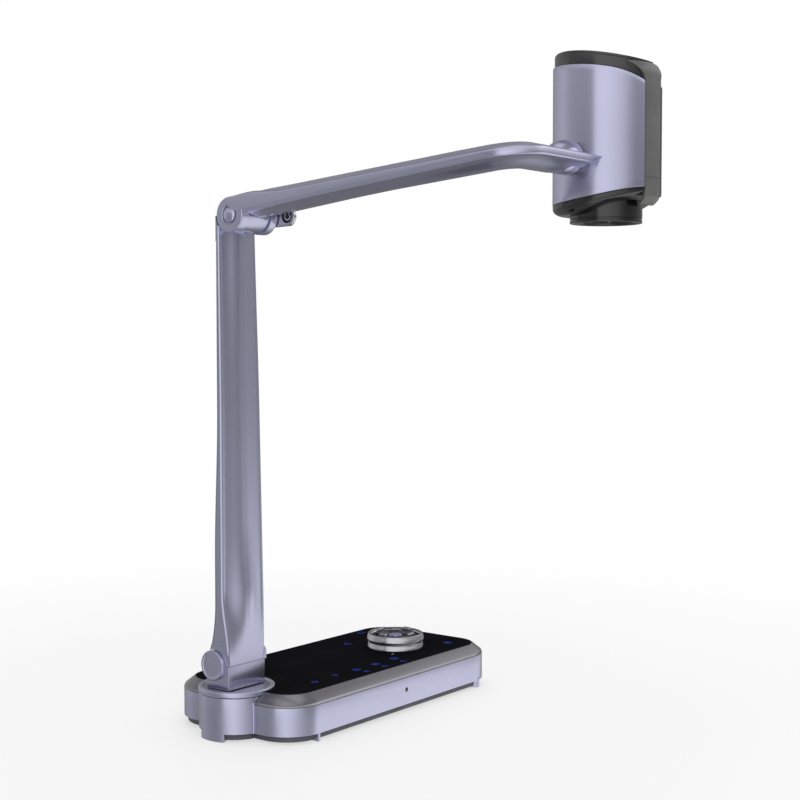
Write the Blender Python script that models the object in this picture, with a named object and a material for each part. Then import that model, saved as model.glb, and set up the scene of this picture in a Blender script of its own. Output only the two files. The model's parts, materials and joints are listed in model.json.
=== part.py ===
"""A desk document camera: weighted base, jog dial, swivelling column, L-shaped arm and zoom camera head.

Lengths are in millimetres until a mesh is made. The origin lies on the desk, under the swivel's axis.
+X runs along the base to its far end, -Y is the front and +Z is up.
"""

import math

import bmesh
import bpy
from mathutils import Matrix, Vector

MM = 0.001

# Clearances
SEAT = 0.3  # between pieces that rest on each other
RUN_FIT = 0.05  # radial, of a pin in its bore
SLIP = 0.4  # radial, of a ring that turns round another piece
INSET = 0.2  # of one joined form's end inside another's side

# Base
DECK_LEFT = -10.0
DECK_RIGHT = 261.5
HALF_DEPTH = 67.1
CORNER_R = 32.0
TURRET_R = 29.2
WALL = 2.5
FOOT_HIGH = 1.4
FOOT_R = 7.5
FOOT_LEFT = 38.0
FOOT_RIGHT = 43.5  # in from the deck's right end
FOOT_Y = 50.0
PLINTH_INSET = 3.0
PLINTH_TOP = 6.3
FIN_LEFT = 20.0
FIN_RIGHT = 25.5  # in from the deck's right end
FIN_WIDE = 2.2
FIN_BACK = 9.0
FIN_DEEP = 8.0
LEG_HALF_ANGLE = 25.0
LEG_DEEP = 7.0
LEG_LOW = 0.4
HOUSING_TOP = 28.6
DECK_TOP = 37.1
DECK_INSET = 8.2
PANEL_THICK = 2.3
SHELF_WIDE = 5.0
BALLAST_HIGH = 14.0
BALLAST_MARGIN = 14.0
BALLAST_CORNER = 20.0
BOARD_MARGIN = 22.0  # beyond the end sockets
BOARD_FRONT = -20.0
BOARD_BACK_GAP = 2.0
BOARD_THICK = 1.6
STANDOFF_HIGH = 3.5
STANDOFF_R = 3.0
IR_X = 130.4
IR_Z = 18.9
IR_R = 1.6
PORT_DEEP = 14.0
PORT_SHELL = 1.0
PORT_PANEL_BESIDE = 6.0
PORT_PANEL_UNDER = 2.6
PORT_PANEL_OVER = 1.6
PORT_TAB_WIDE = 3.0
PORT_TAB_THICK = 1.2
PORTS = (
    ("dc_jack", 70.0, 9.0, 9.0),
    ("usb_b_port", 100.0, 12.6, 11.4),
    ("usb_a_port", 126.0, 15.0, 7.2),
    ("hdmi_port", 156.0, 16.6, 6.8),
    ("vga_port", 192.0, 22.0, 11.4),
)

# Jog dial
DIAL_X = 187.1
DIAL_Y = -11.2
DIAL_R = 25.0
DIAL_BASE_HIGH = 5.2
DIAL_GROOVE = 1.3
JOG_HIGH = 5.7
JOG_WALL = 3.7
HUB_LOW = 3.1  # the hub's face under the jog ring's rim
KEY_IN = 8.0
KEY_RIM_GAP = 3.3
KEY_HALF_IN = 3.2
KEY_HALF_OUT = 7.8
KEY_DEEP = 2.5  # the part of a key inside its pocket
KEY_PROUD_IN = 1.2
KEY_PROUD_OUT = 3.6
KEY_TRAVEL = 1.0
CENTRE_KEY_R = 5.8
CENTRE_KEY_PROUD = 2.4

# Turntable
CAP_R = 30.0
CAP_BAND = 4.7
CAP_RIM = 4.0
DISC_DROP = 1.2
TURRET_TOP = 34.2
SWIVEL_R = 6.0
BEARING_R = 12.0
BRACKET_FRONT = -11.2
BRACKET_BACK = 12.2
BRACKET_TOP = 57.0
HINGE_Y = 4.2
HINGE_Z = 56.8
EAR_R = 11.2
EAR_THICK = 6.9
AXLE_R = 3.5
HINGE_CAP_R = 11.7
HINGE_CAP_THICK = 2.6

# Column
COLUMN_HALF = 20.2
SHANK_FRONT = -4.4
HEAD_FRONT = -3.2
SHANK_BACK = 3.2
COLUMN_CROWN = -9.8
FLARE_FRONT_HIGH = 78.0
FLARE_BACK_HIGH = 48.0
BACK_STEP_LOW = 139.0
BACK_STEP_TOP = 253.0
SHOULDER_Z = 397.5
COVER_THICK = 1.3
COVER_LOW = 73.0
COVER_TOP = 381.0

# Elbow
ELBOW_Y = -14.0
ELBOW_Z = 401.0
KNUCKLE_R = 12.2
KNUCKLE_HALF = 12.0
ELBOW_PIN_R = 4.0
ELBOW_CAP_R = 6.0
ELBOW_CAP_THICK = 1.4
EAR_REACH = 22.0
EAR_BOSS_R = 7.3
EAR_PLATE = 3.4
EAR_RING_R = 4.5
EAR_RING_WIDE = 0.9

# Arm
ARM_PITCH = 6.7  # degrees above level at rest
ARM_HALF = 20.0
ARM_LENGTH = 263.5
ARM_END_WIDE = 39.5
ARM_END_X = 69.7
ARM_OUTER_R = 31.0
ARM_INNER_R = 7.0
ARM_EDGE_TOP = 4.0
ARM_CROWN_TOP = 9.5
ARM_EDGE_UNDER = 0.0
ARM_CROWN_UNDER = -3.0
ARM_SPLIT = 1.7
ROOT_FADE = 85.0
POD_R = 12.0
POD_HALF = 20.0
POD_X = 63.0
POD_UP = 4.2
FLANGE_THICK = 2.5
WRIST_PIN_R = 2.5

# Head
HEAD_R = 38.5
HEAD_WALL = 2.5
HEAD_FORWARD = 1.7  # of the wrist's axis
CRADLE_WEB = 8.1  # between the arm's end and the sleeve
SLEEVE_HIGH = 98.0
SLEEVE_DOWN = 29.8  # its low edge under the wrist's axis
SLEEVE_TOP_DROP = 7.8
SLEEVE_TOP_HOOK = 7.7
SLEEVE_LOW_RISE = 11.5
CAP_HIGH = 10.5
RIM_DROP = 10.0
RIM_ROUND = 3.0
RIM_IN = 1.2
BEZEL_HIGH = 8.0
BEZEL_RISE = 12.0
BEZEL_SIDE = 4.0
BEZEL_INNER_R = 31.0
LENS_R = 26.0
LENS_DOWN = 5.0  # under the bezel
LENS_HIGH = 27.0
LENS_RECESS_R = 22.6
LENS_RECESS = 7.0
GLASS_R = 14.0
PANEL_HALF_ANGLE = 16.0
PANEL_FLARE_ANGLE = 40.0
PANEL_DOWN = 1.0  # under the sleeve's back edge
PANEL_CHAMFER = 7.0
PANEL_FLARE_HIGH = 18.0
PANEL_PROUD = 0.5
PANEL_TOP_DRAW = 14.0
CRADLE_THICK = 8.0
CRADLE_HALF = 20.5
CRADLE_FORWARD = 1.2  # of the wrist's axis
BLOCK_MARGIN_X = 13.0
BLOCK_MARGIN_Y = 11.0
BLOCK_MARGIN_Z = 15.7

PIN_STEPS = 24
SWIVEL_STEPS = 32
ROUND_STEPS = 40

# Places that follow from the sizes above
FOOT_X = (FOOT_LEFT, DECK_RIGHT - FOOT_RIGHT)
FIN_X = (FIN_LEFT, DECK_RIGHT - FIN_RIGHT)
PANEL_BOTTOM = DECK_TOP - PANEL_THICK
SHELF_Z = PANEL_BOTTOM - SEAT
PANEL_INSET = DECK_INSET + 1.1
BALLAST_Z = PLINTH_TOP + SEAT
BOARD_Z = BALLAST_Z + BALLAST_HIGH + STANDOFF_HIGH + SEAT
JOG_Z = DECK_TOP + SEAT + DIAL_BASE_HIGH + DIAL_GROOVE + SEAT
JOG_TOP = JOG_Z + JOG_HIGH
HUB_R = DIAL_R - JOG_WALL - SLIP
HUB_TOP = JOG_TOP - HUB_LOW
KEY_OUT = HUB_R - KEY_RIM_GAP
CAP_Z = TURRET_TOP + SEAT
CAP_TOP = CAP_Z + CAP_BAND
DISC_TOP = CAP_TOP - DISC_DROP
CHEEK_R = KNUCKLE_R + SEAT
CHEEK_IN = KNUCKLE_HALF + SEAT
WRIST_S = ARM_LENGTH - ARM_END_WIDE / 2 + 1.8
PITCH = math.radians(ARM_PITCH)
WRIST_Y = ELBOW_Y - WRIST_S * math.cos(PITCH) + POD_UP * math.sin(PITCH)
WRIST_Z = ELBOW_Z + WRIST_S * math.sin(PITCH) + POD_UP * math.cos(PITCH)
HEAD_X = ARM_END_X + CRADLE_WEB + HEAD_R
HEAD_Y = WRIST_Y - HEAD_FORWARD
CRADLE_Y = WRIST_Y - CRADLE_FORWARD
SLEEVE_LOW = WRIST_Z - SLEEVE_DOWN
SLEEVE_TOP = SLEEVE_LOW + SLEEVE_HIGH
RIM_TOP = SLEEVE_TOP + CAP_HIGH
BEZEL_LOW = SLEEVE_LOW - BEZEL_HIGH
LENS_LOW = BEZEL_LOW - LENS_DOWN
LENS_TOP = LENS_LOW + LENS_HIGH
PANEL_LOW = SLEEVE_LOW - PANEL_DOWN
PANEL_TOP = SLEEVE_TOP
PANEL_FLARE_Z = PANEL_TOP - PANEL_FLARE_HIGH
BLOCK_X = 2 * (HEAD_R - HEAD_WALL - BLOCK_MARGIN_X)
BLOCK_Y = 2 * (HEAD_R - HEAD_WALL - BLOCK_MARGIN_Y)
BLOCK_HIGH = SLEEVE_TOP - BLOCK_MARGIN_Z - LENS_TOP

# Frames of the bodies: a piece's origin lies on its joint's axis
FIXED = Matrix.Identity(4)
COLUMN_FRAME = Matrix.Translation((0, HINGE_Y, HINGE_Z))
ARM_FRAME = Matrix.Translation((0, ELBOW_Y, ELBOW_Z)) @ Matrix.Rotation(-PITCH, 4, "X")
HEAD_FRAME = Matrix.Translation((ARM_END_X, WRIST_Y, WRIST_Z))
DIAL_FRAME = Matrix.Translation((DIAL_X, DIAL_Y, DECK_TOP))

# Looks: colour, roughness and metallic
LAVENDER = ((0.38, 0.38, 0.52), 0.38, 0.6)
DARK_METAL = ((0.12, 0.12, 0.16), 0.45, 0.5)
STEEL = ((0.55, 0.55, 0.56), 0.35, 1.0)
IRON = ((0.2, 0.2, 0.2), 0.6, 1.0)
BLACK_GLOSS = ((0.012, 0.012, 0.014), 0.15, 0.0)
BLACK_MATT = ((0.03, 0.03, 0.035), 0.55, 0.0)
GREY = ((0.19, 0.19, 0.18), 0.5, 0.0)
RUBBER = ((0.02, 0.02, 0.02), 0.85, 0.0)
BOARD_GREEN = ((0.02, 0.16, 0.07), 0.5, 0.0)
BLUE_KEY = ((0.3, 0.3, 0.55), 0.3, 0.0)
LENS = ((0.01, 0.01, 0.03), 0.05, 0.0)


def collection(name):
    made = bpy.data.collections.new(name)
    bpy.context.scene.collection.children.link(made)
    return made


def scaled(matrix):
    """The frame with its place in metres."""
    out = matrix.copy()
    out.translation = matrix.translation * MM
    return out


def mesh_object(name, bm, frame, local, home):
    if not local:
        bm.transform(frame.inverted())
    bm.transform(Matrix.Scale(MM, 4))
    bmesh.ops.recalc_face_normals(bm, faces=bm.faces[:])
    mesh = bpy.data.meshes.new(name)
    bm.to_mesh(mesh)
    bm.free()
    obj = bpy.data.objects.new(name, mesh)
    obj.matrix_world = scaled(frame)
    home.objects.link(obj)
    return obj


def piece(name, bm, look, frame=FIXED, local=False):
    """One node with its own material. Its mesh is given in the row's frame, or in its own with local."""
    colour, roughness, metallic = look
    material = bpy.data.materials.new(name)
    material.use_nodes = True
    shader = material.node_tree.nodes["Principled BSDF"]
    shader.inputs["Base Color"].default_value = (*colour, 1)
    shader.inputs["Roughness"].default_value = roughness
    shader.inputs["Metallic"].default_value = metallic
    obj = mesh_object(name, bm, frame, local, PARTS)
    obj.data.materials.append(material)
    return obj


def boolean(target, name, bm, operation, frame=FIXED, local=False):
    tool = mesh_object(name, bm, frame, local, CUTTERS)
    tool.hide_render = True
    tool.display_type = "WIRE"
    change = target.modifiers.new(name, "BOOLEAN")
    change.operation = operation
    change.solver = "EXACT"
    change.object = tool


def cut(target, name, bm, frame=FIXED, local=False):
    boolean(target, name, bm, "DIFFERENCE", frame, local)


def join(target, name, bm, frame=FIXED, local=False):
    boolean(target, name, bm, "UNION", frame, local)


def loft(rings, loop=False):
    """A skin over rings of one count, capped at its ends, or closed on itself with loop."""
    bm = bmesh.new()
    rows = [[bm.verts.new(point) for point in ring] for ring in rings]
    pairs = list(zip(rows, rows[1:]))
    if loop:
        pairs.append((rows[-1], rows[0]))
    for low, high in pairs:
        for i in range(len(low)):
            j = (i + 1) % len(low)
            bm.faces.new((low[i], low[j], high[j], high[i]))
    if not loop:
        bm.faces.new(rows[0])
        bm.faces.new(rows[-1])
    return bm


def turned(profile, centre=(0, 0, 0), axis="Z", steps=ROUND_STEPS, ring=False):
    """A solid of revolution from (radius, height) points, which close on themselves with ring."""
    bm = bmesh.new()
    verts = [bm.verts.new((radius, 0, height)) for radius, height in profile]
    ends = list(zip(verts, verts[1:]))
    if ring:
        ends.append((verts[-1], verts[0]))
    edges = [bm.edges.new(pair) for pair in ends]
    bmesh.ops.spin(
        bm, geom=verts + edges, axis=(0, 0, 1), cent=(0, 0, 0), angle=math.tau, steps=steps, use_merge=True
    )
    bmesh.ops.remove_doubles(bm, verts=bm.verts[:], dist=1e-4)
    if axis == "X":
        bm.transform(Matrix.Rotation(math.pi / 2, 4, "Y"))
    elif axis == "Y":
        bm.transform(Matrix.Rotation(-math.pi / 2, 4, "X"))
    bm.transform(Matrix.Translation(centre))
    return bm


def rod(radius, low, high, centre=(0, 0, 0), axis="Z", steps=ROUND_STEPS, bevel=0.0):
    """A round bar between two heights on its axis, with bevelled ends."""
    if bevel:
        profile = [
            (0, low),
            (radius - bevel, low),
            (radius, low + bevel),
            (radius, high - bevel),
            (radius - bevel, high),
            (0, high),
        ]
    else:
        profile = [(0, low), (radius, low), (radius, high), (0, high)]
    return turned(profile, centre, axis, steps)


def block(low, high):
    bm = bmesh.new()
    bmesh.ops.create_cube(bm, size=1)
    size = Vector(high) - Vector(low)
    bm.transform(Matrix.Translation((Vector(low) + Vector(high)) / 2) @ Matrix.Diagonal((*size, 1)))
    return bm


def prism(outline, low, high, axis="Z", bevel=0.0):
    """An outline carried along an axis, its ends drawn in by a bevel about its own middle."""
    middle = sum((Vector(p) for p in outline), Vector((0, 0))) / len(outline)
    reach = max((Vector(p) - middle).length for p in outline)
    levels = [(low, 1)]
    if bevel:
        small = 1 - bevel / reach
        levels = [(low, small), (low + bevel, 1), (high - bevel, 1), (high, small)]
    else:
        levels = [(low, 1), (high, 1)]
    rings = []
    for level, scale in levels:
        flat = [middle + (Vector(p) - middle) * scale for p in outline]
        if axis == "X":
            rings.append([(level, p.x, p.y) for p in flat])
        else:
            rings.append([(p.x, p.y, level) for p in flat])
    return loft(rings)


def arc(x, y, radius, start, end, steps):
    """Points on an arc, its angles in radians."""
    angles = [start + (end - start) * i / steps for i in range(steps + 1)]
    return [(x + radius * math.cos(a), y + radius * math.sin(a)) for a in angles]


def filleted(corners, steps=5):
    """An outline from (x, y, radius) corners."""
    points = []
    for i, (x, y, radius) in enumerate(corners):
        here = Vector((x, y))
        if not radius:
            points.append((x, y))
            continue
        back = (Vector(corners[i - 1][:2]) - here).normalized()
        ahead = (Vector(corners[(i + 1) % len(corners)][:2]) - here).normalized()
        half = back.angle(ahead) / 2
        centre = here + (back + ahead).normalized() * (radius / math.sin(half))
        start = here + back * (radius / math.tan(half)) - centre
        end = here + ahead * (radius / math.tan(half)) - centre
        first = math.atan2(start.y, start.x)
        sweep = (math.atan2(end.y, end.x) - first + math.pi) % math.tau - math.pi
        points += arc(centre.x, centre.y, radius, first, first + sweep, steps)
    return points


def smooth(low, high, value):
    """0 below low, 1 above high and an S curve between."""
    t = min(1.0, max(0.0, (value - low) / (high - low)))
    return t * t * (3 - 2 * t)


def mix(a, b, t):
    return a + (b - a) * t


# ---------------------------------------------------------------- base


def deck_outline(inset):
    radius = CORNER_R - inset
    left = DECK_LEFT + CORNER_R
    right = DECK_RIGHT - CORNER_R
    side = HALF_DEPTH - CORNER_R
    quarter = math.pi / 2
    points = []
    for turn, (x, y) in enumerate(((left, -side), (right, -side), (right, side), (left, side))):
        points += arc(x, y, radius, (turn + 2) * quarter, (turn + 3) * quarter, 8)
    return points


def base_outline(inset):
    """The deck's outline with the turret's round nose between its left corners."""
    radius = TURRET_R - inset
    neck = math.acos((DECK_LEFT + inset) / radius)
    return arc(0, 0, radius, neck, math.tau - neck, 18) + deck_outline(inset)


def stacked(outline, levels, loop=False):
    """A loft through (inset, height) levels of an outline function."""
    return loft([[(x, y, z) for x, y in outline(inset)] for inset, z in levels], loop)


def rounded_box(low, high, radius):
    (x0, y0, z0), (x1, y1, z1) = low, high
    corners = [(x0, y0, radius), (x1, y0, radius), (x1, y1, radius), (x0, y1, radius)]
    return prism(filleted(corners), z0, z1)


def nose_leg(grow, low, high):
    """The leg under the turret's nose: a sector of its wall, or with grow the room for it."""
    half = math.radians(LEG_HALF_ANGLE) + grow / TURRET_R
    outer = TURRET_R - INSET + (3 if grow else 0)
    outline = arc(0, 0, outer, math.pi - half, math.pi + half, 8)
    outline += arc(0, 0, TURRET_R - LEG_DEEP - grow, math.pi + half, math.pi - half, 8)
    return prism(outline, low, high)


def build_base():
    foot_places = [(0.0, 0.0)] + [(x, side * FOOT_Y) for x in FOOT_X for side in (-1, 1)]
    for number, (x, y) in enumerate(foot_places, 1):
        profile = [(0, 0), (FOOT_R - 0.6, 0), (FOOT_R, 0.6), (FOOT_R, FOOT_HIGH), (0, FOOT_HIGH)]
        piece(f"foot_{number}", turned(profile, (x, y, 0), steps=20), RUBBER)

    plinth_low = FOOT_HIGH + SEAT
    levels = [(PLINTH_INSET + 0.8, plinth_low), (PLINTH_INSET, plinth_low + 0.8), (PLINTH_INSET, PLINTH_TOP)]
    plinth = piece("base_plinth", stacked(base_outline, levels), DARK_METAL)
    cut(plinth, "leg_room", nose_leg(SEAT, -1, PLINTH_TOP + 2))
    for side in (-1, 1):
        for number, x in enumerate(FIN_X, 1):
            inward = 1 if number == 1 else -1
            ends = sorted((x - inward * SEAT, x + inward * (FIN_BACK + SEAT)))
            depths = sorted((side * (HALF_DEPTH + 2), side * (HALF_DEPTH - FIN_DEEP - SEAT)))
            room = block((ends[0], depths[0], -1), (ends[1], depths[1], PLINTH_TOP + 2))
            cut(plinth, f"fin_room_{number}_{side}", room)

    low = PLINTH_TOP + SEAT
    levels = [
        (0.5, low),
        (0, low + 0.5),
        (0, HOUSING_TOP - 0.4),
        (0.4, HOUSING_TOP),
        (WALL, HOUSING_TOP),
        (WALL, low),
    ]
    housing = piece("base_housing", stacked(base_outline, levels, loop=True), LAVENDER)
    for side in (-1, 1):
        for number, x in enumerate(FIN_X, 1):
            inward = 1 if number == 1 else -1
            face = side * (HALF_DEPTH - INSET)
            root = side * (HALF_DEPTH - FIN_DEEP)
            outline = [(x, face), (x + inward * FIN_WIDE, face), (x + inward * FIN_BACK, root), (x, root)]
            if side * inward > 0:
                outline.reverse()
            join(housing, f"fin_{number}_{side}", prism(outline, LEG_LOW, low + 3))
    join(housing, "nose_leg", nose_leg(0, LEG_LOW, low + 3))
    eye = rod(IR_R + SEAT, -HALF_DEPTH - 1, -HALF_DEPTH + WALL + 1, (IR_X, 0, IR_Z), "Y", 24)
    cut(housing, "ir_hole", eye)

    low = HOUSING_TOP + SEAT
    levels = [
        (0, low),
        (0, low + 0.6),
        (DECK_INSET, DECK_TOP - 0.2),
        (DECK_INSET + 0.4, DECK_TOP),
        (PANEL_INSET - SEAT, DECK_TOP),
        (PANEL_INSET - SEAT, SHELF_Z),
        (PANEL_INSET + SHELF_WIDE, SHELF_Z),
        (PANEL_INSET + SHELF_WIDE, SHELF_Z - 2),
        (WALL + 3, SHELF_Z - 2.4),
        (WALL + 0.3, low),
    ]
    bezel = piece("base_bezel", stacked(deck_outline, levels, loop=True), LAVENDER)
    join(bezel, "turret_top", rod(TURRET_R, low, TURRET_TOP))
    cut(bezel, "cap_room", rod(CAP_R + SLIP, TURRET_TOP, DECK_TOP + 5))
    cut(bezel, "bearing_hole", rod(BEARING_R + SEAT, low - 5, TURRET_TOP + 1))

    levels = [(PANEL_INSET, PANEL_BOTTOM), (PANEL_INSET, DECK_TOP - 0.3), (PANEL_INSET + 0.3, DECK_TOP)]
    panel = piece("touch_panel", stacked(deck_outline, levels), BLACK_GLOSS)
    cut(panel, "panel_turret_room", rod(CAP_R + SLIP + SEAT, PANEL_BOTTOM - 3, DECK_TOP + 3))

    bore = SWIVEL_R + RUN_FIT
    bearing = [(bore, BALLAST_Z), (BEARING_R, BALLAST_Z), (BEARING_R, TURRET_TOP), (bore, TURRET_TOP)]
    piece("swivel_bearing", turned(bearing, steps=SWIVEL_STEPS, ring=True), BLACK_MATT)

    top = BALLAST_Z + BALLAST_HIGH
    right = DECK_RIGHT - BALLAST_MARGIN
    front = -HALF_DEPTH + BALLAST_MARGIN
    back = HALF_DEPTH - PORT_DEEP - 4
    left = CAP_R + 4
    slab = rounded_box((left, front, BALLAST_Z), (right, back, top), BALLAST_CORNER)
    ballast = piece("ballast_weight", slab, IRON)
    board_x = (PORTS[0][1] - BOARD_MARGIN, PORTS[-1][1] + BOARD_MARGIN)
    board_y = (BOARD_FRONT, HALF_DEPTH - WALL - BOARD_BACK_GAP)
    for i, x in enumerate((board_x[0] + 8, board_x[1] - 8)):
        for j, y in enumerate((board_y[0] + 8, back - 8)):
            post = rod(STANDOFF_R, top - 2, top + STANDOFF_HIGH, (x, y, 0), steps=16)
            join(ballast, f"standoff_{i}{j}", post)
    low_corner = (board_x[0], board_y[0], BOARD_Z)
    high_corner = (board_x[1], board_y[1], BOARD_Z + BOARD_THICK)
    piece("main_board", rounded_box(low_corner, high_corner, 3), BOARD_GREEN)

    flange = -HALF_DEPTH + WALL + SEAT
    profile = [
        (0, -HALF_DEPTH + 0.2),
        (IR_R * 0.7, -HALF_DEPTH + 0.2),
        (IR_R, -HALF_DEPTH + 0.6),
        (IR_R, flange),
        (IR_R * 2, flange),
        (IR_R * 2, flange + 1.2),
        (0, flange + 1.2),
    ]
    piece("ir_window", turned(profile, (IR_X, 0, IR_Z), "Y", 24), BLACK_GLOSS)
    build_ports(housing)


def port_panel(housing):
    """The panel fills an opening in the housing's wall, and a tab at each end holds it from behind."""
    top = BOARD_Z - SEAT + PORT_PANEL_OVER
    low = BOARD_Z - SEAT - max(high for _, _, _, high in PORTS) - PORT_PANEL_UNDER
    left = PORTS[0][1] - PORTS[0][2] / 2 - PORT_PANEL_BESIDE
    right = PORTS[-1][1] + PORTS[-1][2] / 2 + PORT_PANEL_BESIDE
    behind = HALF_DEPTH - WALL - SEAT
    room_low = (left - SEAT, behind - 2, low - SEAT)
    room_high = (right + SEAT, HALF_DEPTH + 2, top + SEAT)
    cut(housing, "port_panel_room", block(room_low, room_high))
    plate = block((left, behind - PORT_TAB_THICK + INSET, low), (right, HALF_DEPTH - SEAT, top))
    panel = piece("port_panel", plate, BLACK_MATT)
    for side, x in ((-1, left), (1, right)):
        ends = sorted((x + side * PORT_TAB_WIDE, x - side * PORT_TAB_WIDE / 2))
        tab = block((ends[0], behind - PORT_TAB_THICK, low + 2), (ends[1], behind, top - 2))
        join(panel, f"port_tab_{side}", tab)
    return panel


def build_ports(housing):
    """The sockets hang under the main board, and a dark panel let into the rear wall frames them."""
    mouth = HALF_DEPTH - SEAT
    panel = port_panel(housing)
    for name, x, wide, high in PORTS:
        top = BOARD_Z - SEAT
        low = top - high
        middle = (top + low) / 2
        half = wide / 2
        window_low = (x - half - SEAT, HALF_DEPTH - WALL - 4, low - SEAT)
        window_high = (x + half + SEAT, HALF_DEPTH + 2, top + SEAT)
        cut(panel, f"{name}_window", block(window_low, window_high))
        shell = block((x - half, HALF_DEPTH - PORT_DEEP, low), (x + half, mouth, top))
        socket = piece(name, shell, BLACK_MATT if name in ("dc_jack", "vga_port") else STEEL)
        if name == "dc_jack":
            cut(socket, f"{name}_bore", rod(half - PORT_SHELL, mouth - 9, mouth + 2, (x, 0, middle), "Y", 24))
        elif name == "vga_port":
            ring_in = half - 2.2
            groove = block((x - half + 0.8, mouth - 1, low + 0.8), (x + half - 0.8, mouth + 2, top - 0.8))
            cut(socket, f"{name}_face", groove)
            lip = filleted([(x - ring_in, middle - 3.6, 1.4), (x + ring_in, middle - 3.6, 1.4),
                            (x + ring_in + 1, middle + 3.6, 1.4), (x - ring_in - 1, middle + 3.6, 1.4)])
            rings = [[(px, y, pz) for px, pz in lip] for y in (mouth - 3, mouth)]
            join(socket, f"{name}_insert", loft(rings))
        else:
            pocket = block((x - half + PORT_SHELL, mouth - 9, low + PORT_SHELL),
                           (x + half - PORT_SHELL, mouth + 2, top - PORT_SHELL))
            cut(socket, f"{name}_pocket", pocket)


# ---------------------------------------------------------------- dial


def key_outline(grow):
    """A wedge key's outline, its inner end towards the dial's middle, grown by a clearance."""
    bulge = 1.5
    corners = [
        (KEY_IN - grow, -KEY_HALF_IN - grow, 1.4),
        (KEY_OUT + grow * 0.7, -KEY_HALF_OUT - grow * 1.3, 2.4),
        (KEY_OUT + bulge + grow, 0, 6),
        (KEY_OUT + grow * 0.7, KEY_HALF_OUT + grow * 1.3, 2.4),
        (KEY_IN - grow, KEY_HALF_IN + grow, 1.4),
    ]
    return filleted(corners, 4)


def build_dial():
    centre = (DIAL_X, DIAL_Y, 0)
    low = DECK_TOP + SEAT
    top = low + DIAL_BASE_HIGH
    bore = HUB_R + SEAT
    neck = DIAL_R - 1.6
    profile = [
        (DIAL_R - 0.4, low),
        (DIAL_R, low + 0.4),
        (DIAL_R, top - 0.4),
        (DIAL_R - 0.4, top),
        (neck, top),
        (neck, top + DIAL_GROOVE),
        (bore, top + DIAL_GROOVE),
        (bore, low),
    ]
    piece("dial_base_ring", turned(profile, centre, ring=True), LAVENDER)

    bore = HUB_R + SLIP
    profile = [
        (DIAL_R - 0.4, JOG_Z),
        (DIAL_R, JOG_Z + 0.4),
        (DIAL_R, JOG_TOP - 1.0),
        (DIAL_R - 0.3, JOG_TOP - 0.3),
        (DIAL_R - 1.0, JOG_TOP),
        (bore + 1.1, JOG_TOP),
        (bore + 0.3, JOG_TOP - 0.4),
        (bore, JOG_TOP - 1.0),
        (bore, JOG_Z),
    ]
    piece("jog_ring", turned(profile, centre, ring=True), LAVENDER, DIAL_FRAME)

    profile = [(0, low), (HUB_R, low), (HUB_R, HUB_TOP - 0.6), (HUB_R - 0.6, HUB_TOP), (0, HUB_TOP)]
    hub = piece("dial_hub", turned(profile, centre), BLACK_MATT)
    floor = HUB_TOP - KEY_DEEP - KEY_TRAVEL - SEAT
    bottom = HUB_TOP - KEY_DEEP
    for number, turn in enumerate((0, 1, 2, 3), 1):
        place = Matrix.Translation(centre) @ Matrix.Rotation(turn * math.pi / 2, 4, "Z")
        pocket = prism(key_outline(SEAT), floor, HUB_TOP + 2)
        pocket.transform(place)
        cut(hub, f"key_pocket_{number}", pocket)
        outline = key_outline(0)
        middle = Vector(((KEY_IN + KEY_OUT) / 2, 0))

        def crown(x, drop=0.0):
            t = (x - KEY_IN) / (KEY_OUT + 1.5 - KEY_IN)
            return HUB_TOP + mix(KEY_PROUD_IN, KEY_PROUD_OUT, t) - drop

        inner = [middle + (Vector(p) - middle) * 0.86 for p in outline]
        rings = [
            [(x, y, bottom) for x, y in outline],
            [(x, y, crown(x, 0.8)) for x, y in outline],
            [(p.x, p.y, crown(p.x)) for p in inner],
        ]
        key = loft(rings)
        key.transform(place)
        piece(f"nav_key_{number}", key, DARK_METAL, DIAL_FRAME)
    cut(hub, "centre_pocket", rod(CENTRE_KEY_R + SEAT, floor, HUB_TOP + 2, centre, steps=32))
    profile = [(0, bottom), (CENTRE_KEY_R, bottom), (CENTRE_KEY_R, HUB_TOP + 0.8)]
    for i in range(1, 6):
        angle = i * math.pi / 10
        height = HUB_TOP + mix(0.8, CENTRE_KEY_PROUD, math.sin(angle))
        profile.append((CENTRE_KEY_R * math.cos(angle), height))
    profile[-1] = (0, HUB_TOP + CENTRE_KEY_PROUD)
    piece("centre_key", turned(profile, centre, steps=32), BLUE_KEY, DIAL_FRAME)


# ---------------------------------------------------------------- turntable


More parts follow.
